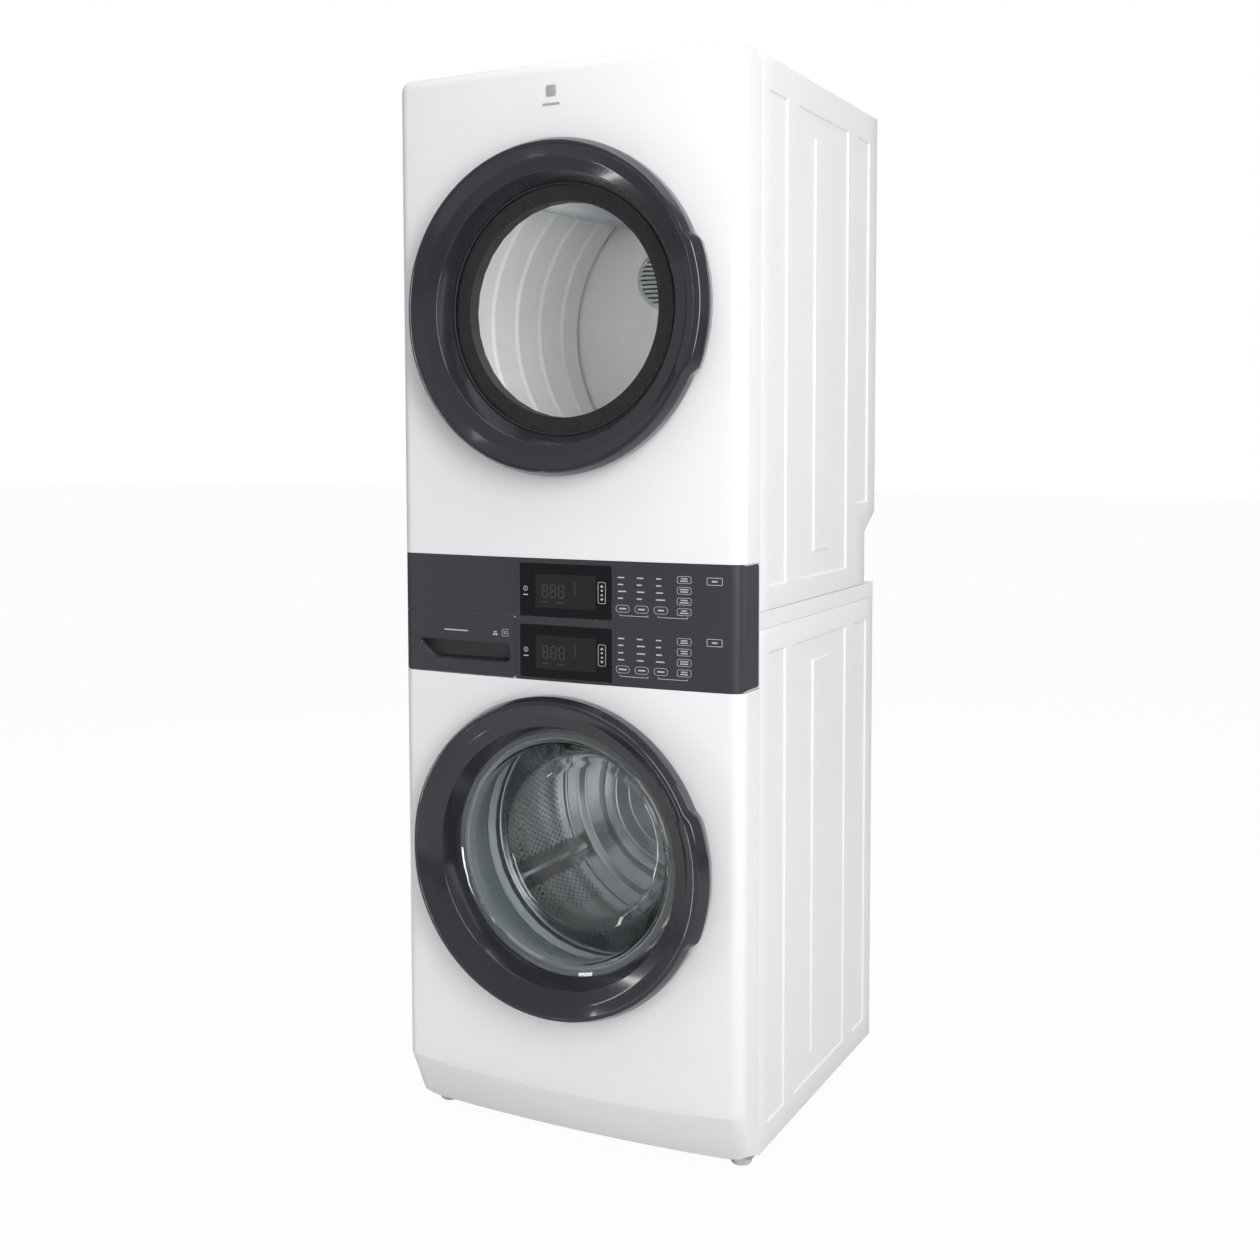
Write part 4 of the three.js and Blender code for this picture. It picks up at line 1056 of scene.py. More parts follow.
    def legends(self, base: float, rows: Sequence[float], pills: float, boxes: Sequence[float],
                draw: random.Random) -> list[Solid]:
        """Print one machine's keys.

        Args:
            base: Height of the machine's rectangle key.
            rows: Heights of the option rows.
            pills: Height of the row of round-ended keys.
            boxes: Heights of the keys in the last column.
            draw: Random source for the lengths of the bars.

        Returns:
            The printed marks.
        """
        marks = []
        last = self.columns[3]
        for x in self.columns[:3]:
            for z in rows:
                width = draw.uniform(0.009, 0.019)
                marks.append(self.bar(x + width / 2 - 0.008, z, width))
            marks.append(self.frame_plate(x + 0.001, pills, 0.026, 0.013, 0.006))
            marks.append(self.bar(x + 0.001, pills, draw.uniform(0.011, 0.016), 0.0026))
        for z in boxes:
            marks.append(self.frame_plate(last, z, 0.026, 0.0125, 0.0035))
            marks += [self.bar(last, z + dz, draw.uniform(0.010, 0.017), 0.0019) for dz in (0.002, -0.002)]
        marks.append(self.frame_plate(self.start_key, base, 0.028, 0.013, 0.0018, 0.0009))
        marks.append(self.bar(self.start_key, base, 0.010, 0.0026))
        for left, right in self.brackets:
            marks.append(self.bar((left + right) / 2, pills - 0.0122, right - left, 0.0009))
            marks += [self.bar(x, pills - 0.0108, 0.0009, 0.0028) for x in (left, right)]
        return marks

    def marks(self) -> None:
        """Print the keys with their start icons, the display icons and the screens' figures."""
        draw = random.Random(7)
        parts = self.legends(1.041, (1.042, 1.030, 1.018, 1.006), 0.988, (1.042, 1.0235, 1.005, 0.987), draw)
        parts += self.legends(0.937, (0.936, 0.924, 0.911, 0.899), 0.882, (0.936, 0.918, 0.900, 0.882), draw)
        piece_from("key_legends", merged(parts), PRINT, "cabinet")
        parts = []
        power, arrows = self.power_mark, self.arrow_keys
        for _, _, low, high in self.windows():
            mid = (low + high) / 2
            parts += [self.on_glass(self.frame_plate(power, mid + 0.002, 0.009, 0.009, 0.0045, 0.0009)),
                      self.bar(power, mid + 0.002, 0.0012, 0.004, self.glass_proud),
                      self.bar(power, mid - 0.009, 0.010, 0.0018, self.glass_proud),
                      self.on_glass(self.frame_plate(arrows, mid, 0.015, 0.038, 0.0035, 0.0008))]
            parts += [self.on_glass(self.chevron(arrows, mid + 0.012 * turn, turn)) for turn in (1, -1)]
            parts += [self.bar(arrows, mid + dz, 0.0035, 0.0035, self.glass_proud) for dz in (0.004, -0.004)]
        piece_from("display_icons", merged(parts), PRINT, "cabinet")
        self.digits()

    def on_glass(self, bm: Solid) -> Solid:
        """Lift a printed mark on to a display's glass."""
        bmesh.ops.translate(bm, verts=bm.verts, vec=(0, -self.glass_proud, 0))
        return bm

    def chevron(self, x: float, z: float, turn: int) -> Solid:
        """Make an up or down arrow.

        Args:
            x: Middle across.
            z: Middle height.
            turn: 1 points up, -1 down.

        Returns:
            The arrow.
        """
        a, b = 0.0035, 0.0022 * turn
        outline = [(x - a, z - b), (x + a, z - b), (x, z + b)]
        return self.plate(outline if turn > 0 else outline[::-1], -self.print_height, -self.sink)

    def digits(self) -> None:
        """Make the faint seven-segment figures on the two screens."""
        parts = []
        wide, tall, thick = 0.010, 0.022, 0.0016
        lift = self.screen_proud
        for _, _, low, high in self.windows():
            mid = (low + high) / 2 - 0.001
            for column in range(3):
                x = -0.030 + column * 0.0165
                for dz in (-tall / 2, 0.0, tall / 2):
                    parts.append(self.bar(x, mid + dz, wide - 0.002, thick, lift))
                for dx in (-wide / 2, wide / 2):
                    for dz in (-tall / 4, tall / 4):
                        parts.append(self.bar(x + dx, mid + dz, thick, tall / 2 - 0.002, lift))
            parts += [self.bar(-0.030, mid - 0.020, 0.012, 0.0014, lift),
                      self.bar(0.001, mid - 0.020, 0.014, 0.0014, lift),
                      self.bar(0.030, mid + 0.006, 0.0012, 0.024, lift)]
        piece_from("display_figures", merged(parts), PRINT_DIM, "cabinet")

    def drawer(self) -> None:
        """Make the drawer front with its scooped pull, whose pocket wears the dark moulding finish as painted
        shade in the recess.
        """
        lay = self.layout
        low, high = lay.console_low + 0.001, lay.console_low + self.drawer_top
        bm = self.front.shell(0, self.thickness, lay.seam_y - 0.0066, low, high)
        body = piece_from("drawer_face", bm, CONSOLE, "detergent_drawer", ["drawer_front"], None)
        y0, y1 = lay.face_y - 0.02, lay.face_y + 0.03
        cut_away(body, [self.rounded_block(-lay.half_width - 1e-4, self.drawer_right, low, high)], keep=True)
        cut_away(body, [raised(self.pull(), y0, y1)])
        self.ease(body)
        scoop = raised(self.pull(), 0.0, self.pull_depth)
        front = [f for f in scoop.faces if abs(f.normal.y) > 0.9 and f.calc_center_median().y < 0.001]
        bmesh.ops.delete(scoop, geom=front, context="FACES_ONLY")
        soften(scoop, 0.006, 4, 1.2)
        for vert in scoop.verts:
            lean = vert.co.y / self.pull_depth
            vert.co.z += 0.004 * lean
            vert.co.y += self.face(vert.co.x) * (1 - lean) + (lay.face_y + 0.006) * lean
        bmesh.ops.reverse_faces(scoop, faces=scoop.faces)
        # Painted shade: the pocket is the drawer's slate plastic, but it takes the dark moulding finish to
        # darken the recess.
        shaded_pocket = piece_from("drawer_pull_painted_shade", scoop, DARK, "detergent_drawer")
        thicken(shaded_pocket, 0.0018)
        label = [self.bar(-0.221, 0.932, 0.052, 0.0024), self.frame_plate(-0.114, 0.933, 0.013, 0.013, 0.002)]
        label += [self.bar(-0.114, 0.9345, 0.007, 0.0012), self.bar(-0.114, 0.9315, 0.005, 0.0012)]
        label += [self.bar(-0.135, 0.929, 0.011, 0.0025), self.bar(-0.135, 0.9335, 0.007, 0.0025)]
        piece_from("drawer_label", merged(label), PRINT, "detergent_drawer")

    def pull(self) -> list[Pair]:
        """Draw the pull's mouth, tapered at its left end.

        Returns:
            Its outline in (x, z).
        """
        left, right, z0, z1 = -0.302, -0.104, 0.878, 0.913
        return rounded([(left, z1 - 0.009, 0.003), (-0.272, z0, 0.03), (right, z0, 0.014), (right, z1, 0.006),
                        (left, z1, 0.003)], 6)

    def badge(self) -> None:
        """Make the plain badge near the top of the front."""
        x = -0.013
        parts = [self.plate(pill(x, 1.884, 0.020, 0.020, 0.004), -0.0008, -self.sink),
                 self.plate(pill(x, 1.861, 0.034, 0.0045, 0.002), -0.0006, -self.sink)]
        piece_from("plain_badge", soften(merged(parts), 0.0003, 2, 1.0), BADGE, "cabinet")

    def build(self) -> None:
        """Make the whole console."""
        self.panel()
        self.glass()
        self.marks()
        self.drawer()
        self.badge()


# ------------------------------------------------------------------ doors
@dataclass
class Door:
    """One round door: ring, glass and, on the dryer, the dark band round its window."""

    layout: Layout
    name: str
    z: float
    bowl: bool
    grip_from: float = -25.0
    grip_to: float = 24.0
    grip_taper: float = 4.5
    grip_reach: float = 0.0105
    grip_start: float = 0.272
    grip_width: float = 0.019
    glass_radius: float = 0.229
    glass_sheet: float = 0.0045
    notch_half: float = 0.012
    notch_back: float = 0.0584
    relief_start: float = 0.262
    relief_depth: float = 0.02
    relief: float = 0.0022
    relief_reach: float = 18.0

    @property
    def body(self) -> str:
        """Return the CAD body the door rides on."""
        return self.name + "_door"

    def ring_profile(self) -> list[Pair]:
        """Draw the ring's section.

        Returns:
            Its outline in (radius, y).
        """
        f = self.layout.door_front
        return rounded([
            (0.288, f + 0.044, 0.001), (0.291, f + 0.036, 0.004), (0.291, f + 0.017, 0.012),
            (0.2835, f + 0.001, 0.004), (0.277, f, 0.004), (0.258, f + 0.0135, 0.03),
            (0.2365, f + 0.0225, 0.0025), (0.2215, f + 0.051, 0.004), (0.2200, f + 0.0547, 0.0005),
            (0.2222, f + 0.0547, 0.0005),
            (0.2388, f + 0.0255, 0.004), (0.262, f + 0.017, 0.01), (0.279, f + 0.004, 0.002),
            (0.288, f + 0.018, 0.004), (0.288, f + 0.035, 0.003), (0.2855, f + 0.044, 0.0005)], 5)

    def bulge(self, angle: float) -> float:
        """Measure how far the opening side swells.

        Args:
            angle: Where round the ring, in degrees.

        Returns:
            How far the ring's edge moves out.
        """
        inside = min(angle - self.grip_from, self.grip_to - angle)
        share = min(1.0, max(0.0, inside / self.grip_taper))
        return self.grip_reach * share * share * (3 - 2 * share)

    def ring(self) -> None:
        """Make the ring, swollen into a finger grip on the opening side."""
        bm = turned(self.ring_profile(), self.z, 240)
        front = self.layout.door_front
        for vert in bm.verts:
            flat = Vector((vert.co.x, vert.co.z - self.z))
            radius = flat.length
            if radius > self.grip_start:
                share = min(1.0, (radius - self.grip_start) / self.grip_width)
                back = min(1.0, max(0.0, (front + 0.044 - vert.co.y) / 0.012))
                swell = self.bulge(math.degrees(math.atan2(flat.y, flat.x))) * share * back
                grown = flat.normalized() * (radius + swell)
                vert.co.x, vert.co.z = grown.x, self.z + grown.y
            near = max(0.0, 1.0 - math.degrees(math.atan2(abs(flat.y), -flat.x)) / self.relief_reach)
            if near > 0.0 and radius > self.relief_start and vert.co.y < front + self.relief_depth:
                vert.co.y += self.relief * near * near * (3 - 2 * near)
        ring = piece_from(self.name + "_ring", bm, RING, self.body, [self.name + "_door_ring"], None)
        for slot in self.notches():
            cut_away(ring, [slot])
        shade(ring, 35)

    def notches(self) -> list[Solid]:
        """Shape the slots that clear the fixed hinge arm, cut from behind the dished face.

        Returns:
            The two solids to cut away.
        """
        front, low, high = self.layout.door_front, self.z - self.notch_half, self.z + self.notch_half
        spans = ((-0.301, -0.2665, 0.014), (-0.2666, -0.2415, 0.0245))
        return [box_mesh((left, front + start, low), (right, front + self.notch_back, high))
                for left, right, start in spans]

    def glass(self) -> None:
        """Make the window: a deep bowl on the washer, a flat pane on the dryer."""
        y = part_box(self.name + "_door_glass")[0][1]
        back, edge = y + self.glass_sheet, self.glass_radius
        if self.bowl:
            corners = [(0.0, y + 0.1075, 0), (0.142, y + 0.1025, 0.03), (0.166, y + 0.0905, 0.02),
                       (0.199, y + 0.008, 0.006), (0.205, y, 0.003), (edge, y, 0.0005),
                       (edge, back, 0.0005), (0.2075, back, 0.002), (0.2035, y + 0.0085, 0.003),
                       (0.172, y + 0.095, 0.024), (0.146, y + 0.107, 0.034), (0.0, y + 0.112, 0)]
        else:
            corners = [(0.0, y, 0), (edge, y, 0.0012), (edge, back, 0.0012), (0.0, back, 0)]
        bm = turned(rounded(corners, 8), self.z, 160, closed=False)
        piece_from(self.name + "_window", bm, BOWL_GLASS if self.bowl else PANE_GLASS, self.body,
                   [self.name + "_door_glass"], 50)

    def band(self) -> None:
        """Make the dark band behind the dryer's pane."""
        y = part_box(self.name + "_door_glass")[1][1]
        inner, outer, near, far = 0.188, 0.226, y + 0.0001, y + 0.00028
        bm = turned([(inner, near), (outer, near), (outer, far), (inner, far)], self.z, 160)
        piece_from(self.name + "_window_band", bm, FRIT, self.body)
        seal = turned(rounded([(0.2195, y - 0.0048, 0.0006), (0.2195, y - 0.0075, 0.0012),
                               (0.2165, y - 0.0062, 0.0012), (0.2165, y - 0.0048, 0.0006)], 4), self.z, 160)
        piece_from(self.name + "_window_seal", seal, RUBBER, self.body)

    def build(self) -> None:
        """Make the door."""
        self.ring()
        self.glass()
        if not self.bowl:
            self.band()


# ------------------------------------------------------------------ washer inside
@dataclass(frozen=True)
class Paddle:
    """The section and slant of a drum's three paddles, in metres and degrees."""

    foot: float
    waist: float
    crest: float
    waist_height: float
    waist_radius: float
    height: float
    slant_from: float
    front_slant: float
    rear_slant: float
    first: float

    def three(self, base: float, y0: float, y1: float, z: float) -> Solid:
        """Make the three paddles.

        Args:
            base: Height of the foot above the drum's axis.
            y0: Front end.
            y1: Rear end.
            z: Height of the drum's axis.

        Returns:
            The paddles in one mesh.
        """
        half = [(self.foot, base, 0.001), (self.waist, base + self.waist_height, self.waist_radius),
                (self.crest, base + self.height, 0.009)]
        foot = (-self.foot, base, 0.001)
        outline = rounded([foot, *half, *[(-x, b, radius) for x, b, radius in half[:0:-1]]], 6)
        parts = []
        for turn in range(3):
            bm = raised(outline, y0, y1)
            for vert in bm.verts:
                if vert.co.z > base + self.slant_from:
                    vert.co.y += self.front_slant if vert.co.y < (y0 + y1) / 2 else -self.rear_slant
            soften(bm, 0.004, 3, 1.0)
            bmesh.ops.rotate(bm, verts=bm.verts, cent=(0, 0, 0), matrix=Matrix.Rotation(
                math.radians(self.first + 120 * turn), 3, "Y"))
            bmesh.ops.translate(bm, verts=bm.verts, vec=(0, 0, z))
            parts.append(bm)
        return merged(parts)


LIFTER = Paddle(0.030, 0.020, 0.008, 0.016, 0.012, 0.044, 0.02, 0.022, 0.022, 60)
VANE = Paddle(0.034, 0.018, 0.010, 0.030, 0.02, 0.064, 0.03, 0.03, 0.01, 25)


@dataclass
class WasherWorks:
    """What shows inside the washer: bellows, drum, lifters, springs and dampers."""

    layout: Layout
    radius: float = 0.270
    mouth: float = 0.216
    depth: float = 0.360
    hole: float = 0.0026
    hole_pitch: float = 0.0125
    rod: float = 0.110

    def gasket(self) -> None:
        """Make the rubber bellows between the front sheet and the tub."""
        low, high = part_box("washer_gasket")
        y, end = low[1], high[1]
        profile = rounded([
            (0.2385, y, 0.001), (0.208, y, 0.003), (0.2005, y + 0.014, 0.006), (0.2000, y + 0.031, 0.005),
            (0.207, y + 0.036, 0.005), (0.237, y + 0.047, 0.004), (0.238, y + 0.052, 0.003),
            (0.227, y + 0.066, 0.005),
            (0.2268, end, 0.001), (0.2303, end, 0.001), (0.2303, y + 0.070, 0.004), (0.2425, y + 0.053, 0.004),
            (0.2420, y + 0.044, 0.004), (0.2125, y + 0.033, 0.004), (0.2035, y + 0.027, 0.004),
            (0.2045, y + 0.015, 0.005), (0.2105, y + 0.004, 0.003), (0.2385, y + 0.004, 0.001)], 5)
        bm = turned(profile, self.layout.washer_door, 144)
        bellows = piece_from("door_bellows", bm, GASKET, None, ["washer_gasket"], 60)
        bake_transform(bellows)

    def drum(self) -> None:
        """Make the stainless drum with rolled lip, dished back, lifters and perforations."""
        low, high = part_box("washer_drum")
        y0, y1, r = low[1], low[1] + self.depth, self.radius
        profile = rounded([
            (0.0, y1 - 0.010, 0), (0.045, y1 - 0.010, 0.004), (0.055, y1 - 0.002, 0.004),
            (0.118, y1 - 0.002, 0.006),
            (0.140, y1 - 0.020, 0.008), (0.168, y1 - 0.020, 0.008), (0.188, y1 - 0.003, 0.008),
            (0.222, y1 - 0.003, 0.006), (0.236, y1 - 0.014, 0.006), (0.262, y1 - 0.010, 0.006),
            (r - 0.0015, y1 - 0.012, 0.006), (r - 0.0015, y0 + 0.010, 0.006), (r - 0.010, y0 + 0.0015, 0.004),
            (self.mouth + 0.006, y0 + 0.0015, 0.003), (self.mouth + 0.001, y0 + 0.006, 0.002),
            (self.mouth, y0 + 0.005, 0.0004), (self.mouth + 0.004, y0, 0.002), (r - 0.008, y0, 0.004),
            (r, y0 + 0.009, 0.006), (r, y1 - 0.008, 0.006), (r - 0.008, y1, 0.004), (0.015, y1, 0),
            (0.015, high[1], 0.001), (0.0, high[1], 0)], 4)
        bm = turned(profile, self.layout.washer_door, 160, closed=False)
        piece_from("stainless_drum", bm, STAINLESS, "washing_drum", ["washer_drum"], 50)
        lifters = LIFTER.three(-self.radius + 0.003, y0 + 0.022, y1 - 0.030, self.layout.washer_door)
        piece_from("drum_lifters", lifters, STAINLESS, "washing_drum", smooth=40)
        self.perforations(y0 + 0.030, y1 - 0.035)

    def perforations(self, y0: float, y1: float) -> None:
        """Make the small punched holes round the drum's wall as dark discs, painted shade for the dark seen
        through each hole.

        Args:
            y0: Front row.
            y1: Rear row.
        """
        bm = bmesh.new()
        rise = self.hole_pitch * 0.87
        axis = self.layout.washer_door
        around = int(math.tau * self.radius / self.hole_pitch)
        lifter = math.asin(0.033 / self.radius)
        for row in range(int((y1 - y0) / rise)):
            for k in range(around):
                angle = math.tau * (k + 0.5 * (row % 2)) / around
                off = (math.degrees(angle) + 30) % 120 - 60
                if abs(math.radians(off)) < lifter:
                    continue
                place = Matrix.Translation((0, y0 + row * rise, 0.0019 - self.radius))
                turn = Matrix.Rotation(angle, 4, "Y") @ place
                bmesh.ops.create_circle(bm, cap_ends=True, radius=self.hole, segments=6, matrix=turn)
        bmesh.ops.translate(bm, verts=bm.verts, vec=(0, 0, axis))
        for face in bm.faces:
            middle_point = face.calc_center_median()
            if face.normal.dot(middle_point - Vector((0, middle_point.y, axis))) > 0:
                face.normal_flip()
        # The discs carry painted shade: their near-black colour stands for the darkness behind each hole.
        piece_from("drum_perforation_shade", bm, HOLE_SHADE, "washing_drum", smooth=None)

    def coil(self, x: float, y: float, low: float, high: float) -> Solid:
        """Make one tub spring.

        Args:
            x: Its place across.
            y: Its place front to back.
            low: Bottom.
            high: Top.

        Returns:
            The coil.
        """
        turns, radius, wire = 14, 0.0105, 0.0016
        steps = turns * 14
        bm = bmesh.new()
        made = bmesh.ops.create_circle(bm, segments=8, radius=wire,
                                       matrix=Matrix.Translation((x + radius, y, low + wire))
                                       @ Matrix.Rotation(math.pi / 2, 4, "X"))
        edges = list({e for v in made["verts"] for e in v.link_edges})
        bmesh.ops.spin(bm, geom=made["verts"] + edges, cent=(x, y, 0), axis=(0, 0, 1),
                       dvec=(0, 0, (high - low - 2 * wire) / steps), angle=math.tau * turns, steps=steps)
        ends = [e for e in bm.edges if len(e.link_faces) == 1]
        bmesh.ops.holes_fill(bm, edges=ends, sides=0)
        bmesh.ops.recalc_face_normals(bm, faces=bm.faces)
        return bm

    def suspension(self) -> None:
        """Make the springs and the telescopic dampers."""
        for word in ("left", "right"):
            node = "tub_spring_" + word
            low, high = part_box(node)
            x, y = middle(node, 0), middle(node, 1)
            spring = piece_from("coil_spring_" + word, self.coil(x, y, low[2], high[2]), BRIGHT, None,
                                [node], 60)
            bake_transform(spring)
            self.damper(word)

    def damper(self, word: str) -> None:
        """Make one damper, a cylinder and its rod.

        Args:
            word: Its side.
        """
        node = "tub_damper_" + word
        low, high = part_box(node)
        x, y = middle(node, 0), middle(node, 1)
        split = high[2] - self.rod
        profile = rounded([(0.0, low[2], 0), (0.010, low[2], 0.002), (0.014, low[2] + 0.012, 0.002),
                           (0.014, split - 0.004, 0.002), (0.0085, split, 0.001),
                           (0.0075, high[2] - 0.014, 0.001), (0.0075, high[2], 0.002), (0.0, high[2], 0)], 3)
        bm = upright(profile, x, y, 32)
        rod = piece_from("damper_" + word, bm, DARK, None, [node], 40)
        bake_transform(rod)

    def build(self) -> None:
        """Make the washer's inside."""
        self.gasket()
        self.drum()
        self.suspension()


# ------------------------------------------------------------------ dryer inside
@dataclass
class DryerWorks:
    """What shows inside the dryer: the ribbed drum, its vanes and the perforated back."""

    layout: Layout
    radius: float = 0.316
    beads: int = 6

    def drum(self) -> None:
        """Make the drum with its rolled beads."""
        low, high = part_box("dryer_drum")
        y0, y1, r = low[1], high[1], self.radius
        inner: list[Corner] = []
        outer: list[Corner] = []
        for i in range(self.beads):
            y = y0 + (y1 - y0) * (i + 0.7) / (self.beads + 0.4)
            inner += [(r - 0.0016, y - 0.010, 0.004), (r - 0.0060, y - 0.003, 0.003),
                      (r - 0.0060, y + 0.003, 0.003), (r - 0.0016, y + 0.010, 0.004)]
            outer += [(r, y - 0.009, 0.004), (r - 0.0044, y - 0.002, 0.003), (r - 0.0044, y + 0.002, 0.003),
                      (r, y + 0.009, 0.004)]
        profile = [(r - 0.0016, y0, 0.0), *inner, (r - 0.0016, y1, 0.0), (r, y1, 0.0), *outer[::-1],
                   (r, y0, 0.0)]
        bm = turned(rounded(profile, 3), self.layout.dryer_door, 160)
        piece_from("ribbed_drum", bm, DRUM_PALE, "drying_drum", ["dryer_drum"], 60)
        vanes = VANE.three(-self.radius + 0.0012, y0 + 0.045, y1 - 0.012, self.layout.dryer_door)
        piece_from("drum_vanes", vanes, GREY, "drying_drum", smooth=40)

    def grille(self) -> None:
        """Make the slotted grille over the air inlet in the rear wall."""
        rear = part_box("dryer_rear_bulkhead")[1][1]
        x, z = -0.120, self.layout.dryer_door + 0.110
        disc = turned([(0.0, rear - 0.0012), (0.0597, rear - 0.0012), (0.0597, rear - 0.0002),
                       (0.0, rear - 0.0002)], z, 64, x=x, closed=False)
        grille = piece_from("inlet_grille", disc, ZINC, "cabinet", smooth=None)
        slots = []
        for row in range(-5, 6):
            half = math.sqrt(0.052 ** 2 - (row * 0.009) ** 2)
            slots.append(raised(pill(x, z + row * 0.009, 2 * half, 0.0035, 0.0015), rear - 0.01, rear + 0.01))
        cut_away(grille, slots)
        shade(grille)

    def build(self) -> None:
        """Make the dryer's inside."""
        self.drum()
        self.grille()


# ------------------------------------------------------------------ feet and rear fittings
@dataclass
class Fittings:
    """Feet and the small things on the back."""

    layout: Layout

    def feet(self) -> None:
        """Make the four levelling feet."""
        for place in ("front_left", "front_right", "rear_left", "rear_right"):
            node = "levelling_leg_" + place
            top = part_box(node)[1][2]
            profile = rounded([(0.0, 0.0, 0), (0.0165, 0.0, 0.0015), (0.019, 0.003, 0.002),
                               (0.019, 0.017, 0.0025), (0.014, 0.020, 0.002), (0.0095, 0.020, 0.001),
                               (0.0095, 0.028, 0.001), (0.0058, 0.028, 0.0), (0.0058, top, 0.001),
                               (0.0, top, 0)], 4)
            bm = upright(profile, middle(node, 0), middle(node, 1), 36)
            piece_from("foot_" + place, bm, PALE, place + "_leg", [node], 40)

    def screws(self) -> None:
        """Make the hexagon screws round both rear sheets."""
        parts = []
        for rear, heights in ((self.layout.washer_rear, (0.060, 0.350, 0.640, 0.925)),
                              (self.layout.dryer_rear, (1.150, 1.400, 1.650, 1.905))):
            profile = rounded([(0.0, rear, 0), (0.0075, rear, 0), (0.0075, rear + 0.0008, 0.0003),
                               (0.0048, rear + 0.0010, 0), (0.0045, rear + 0.0042, 0.0008),
                               (0.0, rear + 0.0046, 0)], 2)
            parts += [turned(profile, z, 18, x=x, closed=False) for x in (-0.324, 0.324) for z in heights]
        piece_from("rear_screws", merged(parts), BRIGHT, "cabinet")

    def inlets(self) -> None:
        """Make the two threaded water inlets in the washer's rear sheet."""
        y = self.layout.washer_rear
        parts = []
        for x in (-0.225, -0.175):
            profile: list[Corner] = [(0.0085, y - 0.020, 0), (0.0155, y - 0.020, 0), (0.0155, y - 0.004, 0.001)]
            for k in range(6):
                profile += [(0.0118, y + 0.0005 + k * 0.0026, 0), (0.0130, y + 0.0018 + k * 0.0026, 0)]
            profile += [(0.0115, y + 0.0172, 0), (0.0085, y + 0.0172, 0)]
            parts.append(turned(rounded(profile, 2), 0.892, 40, x=x))
        piece_from("water_inlets", merged(parts), BRIGHT, "cabinet")

    def louvres(self) -> None:
        """Make the pressed louvres of the dryer's rear sheet."""
        y = self.layout.dryer_rear
        parts = []
        for column in (-0.17, 0.0, 0.17):
            for row in range(9):
                bm = raised(pill(column, 1.62 + row * 0.022, 0.110, 0.009, 0.004), y - 0.0003, y + 0.0034)
                for vert in bm.verts:
                    if vert.co.y > y:
                        vert.co.z += 0.0015
                parts.append(soften(bm, 0.0012, 2, 1.0))
        piece_from("rear_louvres", merged(parts), ZINC, "cabinet")

    def build(self) -> None:
        """Make the fittings."""
        self.feet()
        self.screws()
        self.inlets()
        self.louvres()


# ------------------------------------------------------------------ carried-over nodes and stage
CARRIED: tuple[tuple[Finish, tuple[str, ...]], ...] = (
    (ENAMEL, ("dryer_top_panel", "stack_frame")),
    (ZINC, ("washer_rear_panel", "dryer_rear_panel", "washer_base", "dryer_base", "exhaust_duct")),
    (PALE, ("console_frame", "drawer_tray")),
    (GREY, ("dispenser_housing", "washer_tub", "dryer_front_bulkhead", "lint_filter")),
    (DARK, ("washer_door_liner", "dryer_door_liner", "washer_door_lock", "dryer_door_latch", "blower_housing")),
    (BRIGHT, ("washer_door_hook", "dryer_door_hook", "washer_door_knuckle", "dryer_door_knuckle",
              "washer_hinge_bracket", "dryer_hinge_bracket", "washer_motor_pulley", "dryer_motor_shaft")),
    (IRON, ("counterweight",)),
    (ALUMINIUM, ("drum_pulley", "washer_motor", "dryer_motor")),
    (RUBBER, ("washer_belt", "dryer_belt", "drum_roller_left", "drum_roller_right")),
    (DRUM_PALE, ("dryer_rear_bulkhead",)),
)


def dress_carried() -> None:
    """Give each CAD node that stays its procedural finish."""
    for finish, nodes in CARRIED:
        for node in nodes:
            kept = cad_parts[node].data.materials
            kept.clear()
            kept.append(finish.material())


LAMPS: tuple[tuple[str, Corner, Corner, Pair, float], ...] = (
    ("key", (1.9, -2.2, 1.9), (0.2, -0.3, 1.05), (0.9, 2.6), 66.0),
    ("ring_strip", (-2.3, -2.1, 1.0), (0, -0.4, 1.0), (0.10, 1.8), 7.0),
    ("bowl_card", (-0.829, -1.313, 0.137), (-0.212, -0.351, 0.465), (0.07, 0.17), 1.3),
    ("bowl_spot", (-0.213, -0.832, 0.132), (0.045, -0.351, 0.325), (0.03, 0.03), 0.05),
    ("back_fill", (-1.8, 3.0, 2.4), (0, 0.3, 1.0), (1.6, 2.4), 60.0),
    ("overhead", (0.4, -0.8, 4.2), (0, 0, 1.0), (2.4, 2.4), 40.0),
    ("right_back", (3.4, 1.2, 1.6), (0.3, 0.1, 1.0), (1.2, 2.6), 26.0),
    ("dryer_drum", (0.06, -0.22, 1.70), (-0.02, 0.25, 1.47), (0.26, 0.2), 0.75),
)


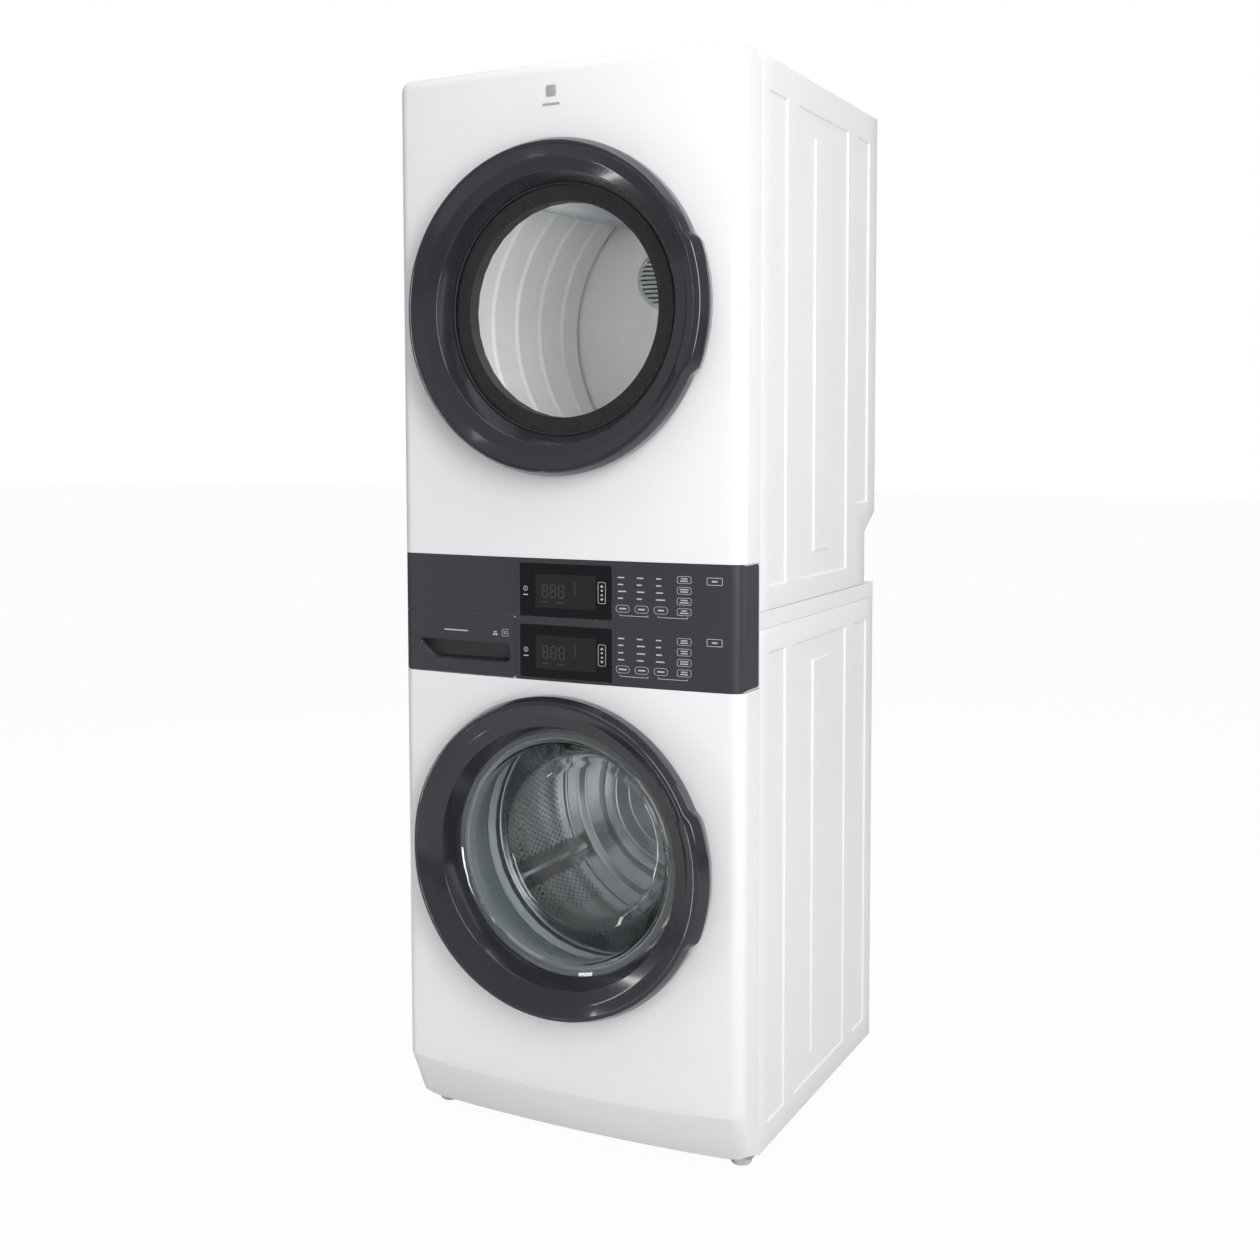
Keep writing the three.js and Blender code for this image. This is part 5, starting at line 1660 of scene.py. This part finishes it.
@dataclass
class Studio:
    """Camera, lamps, floor and backdrop."""

    eye: Corner = (1.33323, -2.75638, 1.28986)
    yaw: float = 26.6884
    pitch: float = -3.6642
    roll: float = -0.1241
    lens: float = 44.589
    shift_x: float = 0.0044
    shift_y: float = -0.0763
    floor_albedo: float = 0.55
    floor_glow: float = 0.97
    sky: float = 0.38

    def camera(self) -> None:
        """Set the camera at the viewing angle."""
        yaw, pitch, roll = (math.radians(a) for a in (self.yaw, self.pitch, self.roll))
        ahead = Vector((-math.sin(yaw) * math.cos(pitch), math.cos(yaw) * math.cos(pitch), math.sin(pitch)))
        level = Vector((math.cos(yaw), math.sin(yaw), 0))
        right = level * math.cos(roll) + level.cross(ahead) * math.sin(roll)
        up = right.cross(ahead)
        data = bpy.data.cameras.new("camera")
        data.sensor_width = 36.0
        data.lens = self.lens
        data.shift_x = self.shift_x
        data.shift_y = self.shift_y
        camera = linked("camera", data)
        turn = Matrix((right, up, -ahead)).transposed().to_4x4()
        camera.matrix_world = Matrix.Translation(self.eye) @ turn
        bpy.context.scene.camera = camera

    def lamp(self, name: str, place: Corner, aim: Corner, size: Pair, power: float) -> None:
        """Add one soft lamp.

        Args:
            name: Its name.
            place: Where it stands.
            aim: What it points at.
            size: Width and height.
            power: Watts.
        """
        data = bpy.data.lights.new(name, "AREA")
        data.shape = "RECTANGLE"
        data.size, data.size_y = size
        data.energy = power
        lamp = linked(name, data)
        lamp.location = place
        lamp.visible_camera = False
        lamp.visible_transmission = False
        lamp.rotation_euler = (Vector(aim) - Vector(place)).to_track_quat("-Z", "Y").to_euler()

    def bright(self, name: str) -> Material:
        """Make a pale surface that the camera sees as white and that keeps a soft shadow.

        Args:
            name: The material's name.

        Returns:
            The material.
        """
        made, _ = start_material(name)
        tree = made.node_tree
        shader = tree.nodes["Principled BSDF"]
        feed(shader, {"Base Color": (*[self.floor_albedo] * 3, 1), "Roughness": 0.9}, {})
        rays = add_node(tree, "LightPath")
        glow = add_node(tree, "Emission", {"Strength": 1.0})
        seen = add_node(tree, "Math", links={0: rays.outputs["Is Camera Ray"],
                                             1: rays.outputs["Is Transmission Ray"]})
        seen.operation = "MAXIMUM"
        share = add_node(tree, "Math", {1: self.floor_glow}, {0: seen.outputs[0]})
        share.operation = "MULTIPLY"
        mix = add_node(tree, "MixShader", links={0: share.outputs[0], 1: shader.outputs["BSDF"],
                                                 2: glow.outputs["Emission"]})
        feed(tree.nodes["Material Output"], {}, {"Surface": mix.outputs["Shader"]})
        return made

    def world(self) -> None:
        """Light the surroundings plainly, white to the camera."""
        world = bpy.data.worlds.new("studio")
        world.use_nodes = True
        bpy.context.scene.world = world
        tree = world.node_tree
        back = tree.nodes["Background"]
        rays = add_node(tree, "LightPath")
        strength = add_node(tree, "MapRange", {"To Min": self.sky, "To Max": 1.0},
                            {"Value": rays.outputs["Is Camera Ray"]})
        feed(back, {"Color": (1, 1, 1, 1)}, {"Strength": strength.outputs["Result"]})

    def stage(self) -> None:
        """Make the floor."""
        bm = bmesh.new()
        bmesh.ops.create_grid(bm, x_segments=1, y_segments=1, size=30.0)
        mesh = mesh_from("floor", bm)
        floor = linked("floor", mesh)
        mesh.materials.append(self.bright("studio_floor"))

    def build(self) -> None:
        """Set the whole studio."""
        self.camera()
        self.world()
        self.stage()
        for name, place, aim, size, power in LAMPS:
            self.lamp(name, place, aim, size, power)


def main() -> None:
    """Build every sub-assembly in order."""
    logging.basicConfig(level=logging.INFO)
    bpy.context.scene.view_settings.view_transform = "Standard"
    Studio().build()
    layout = read_layout()
    front = BowedFront(layout)
    front.build()
    CabinetSides(layout).build()
    Console(layout, front).build()
    Door(layout, "washer", layout.washer_door, bowl=True).build()
    Door(layout, "dryer", layout.dryer_door, bowl=False).build()
    WasherWorks(layout).build()
    DryerWorks(layout).build()
    Fittings(layout).build()
    dress_carried()


if __name__ == "__main__":
    main()
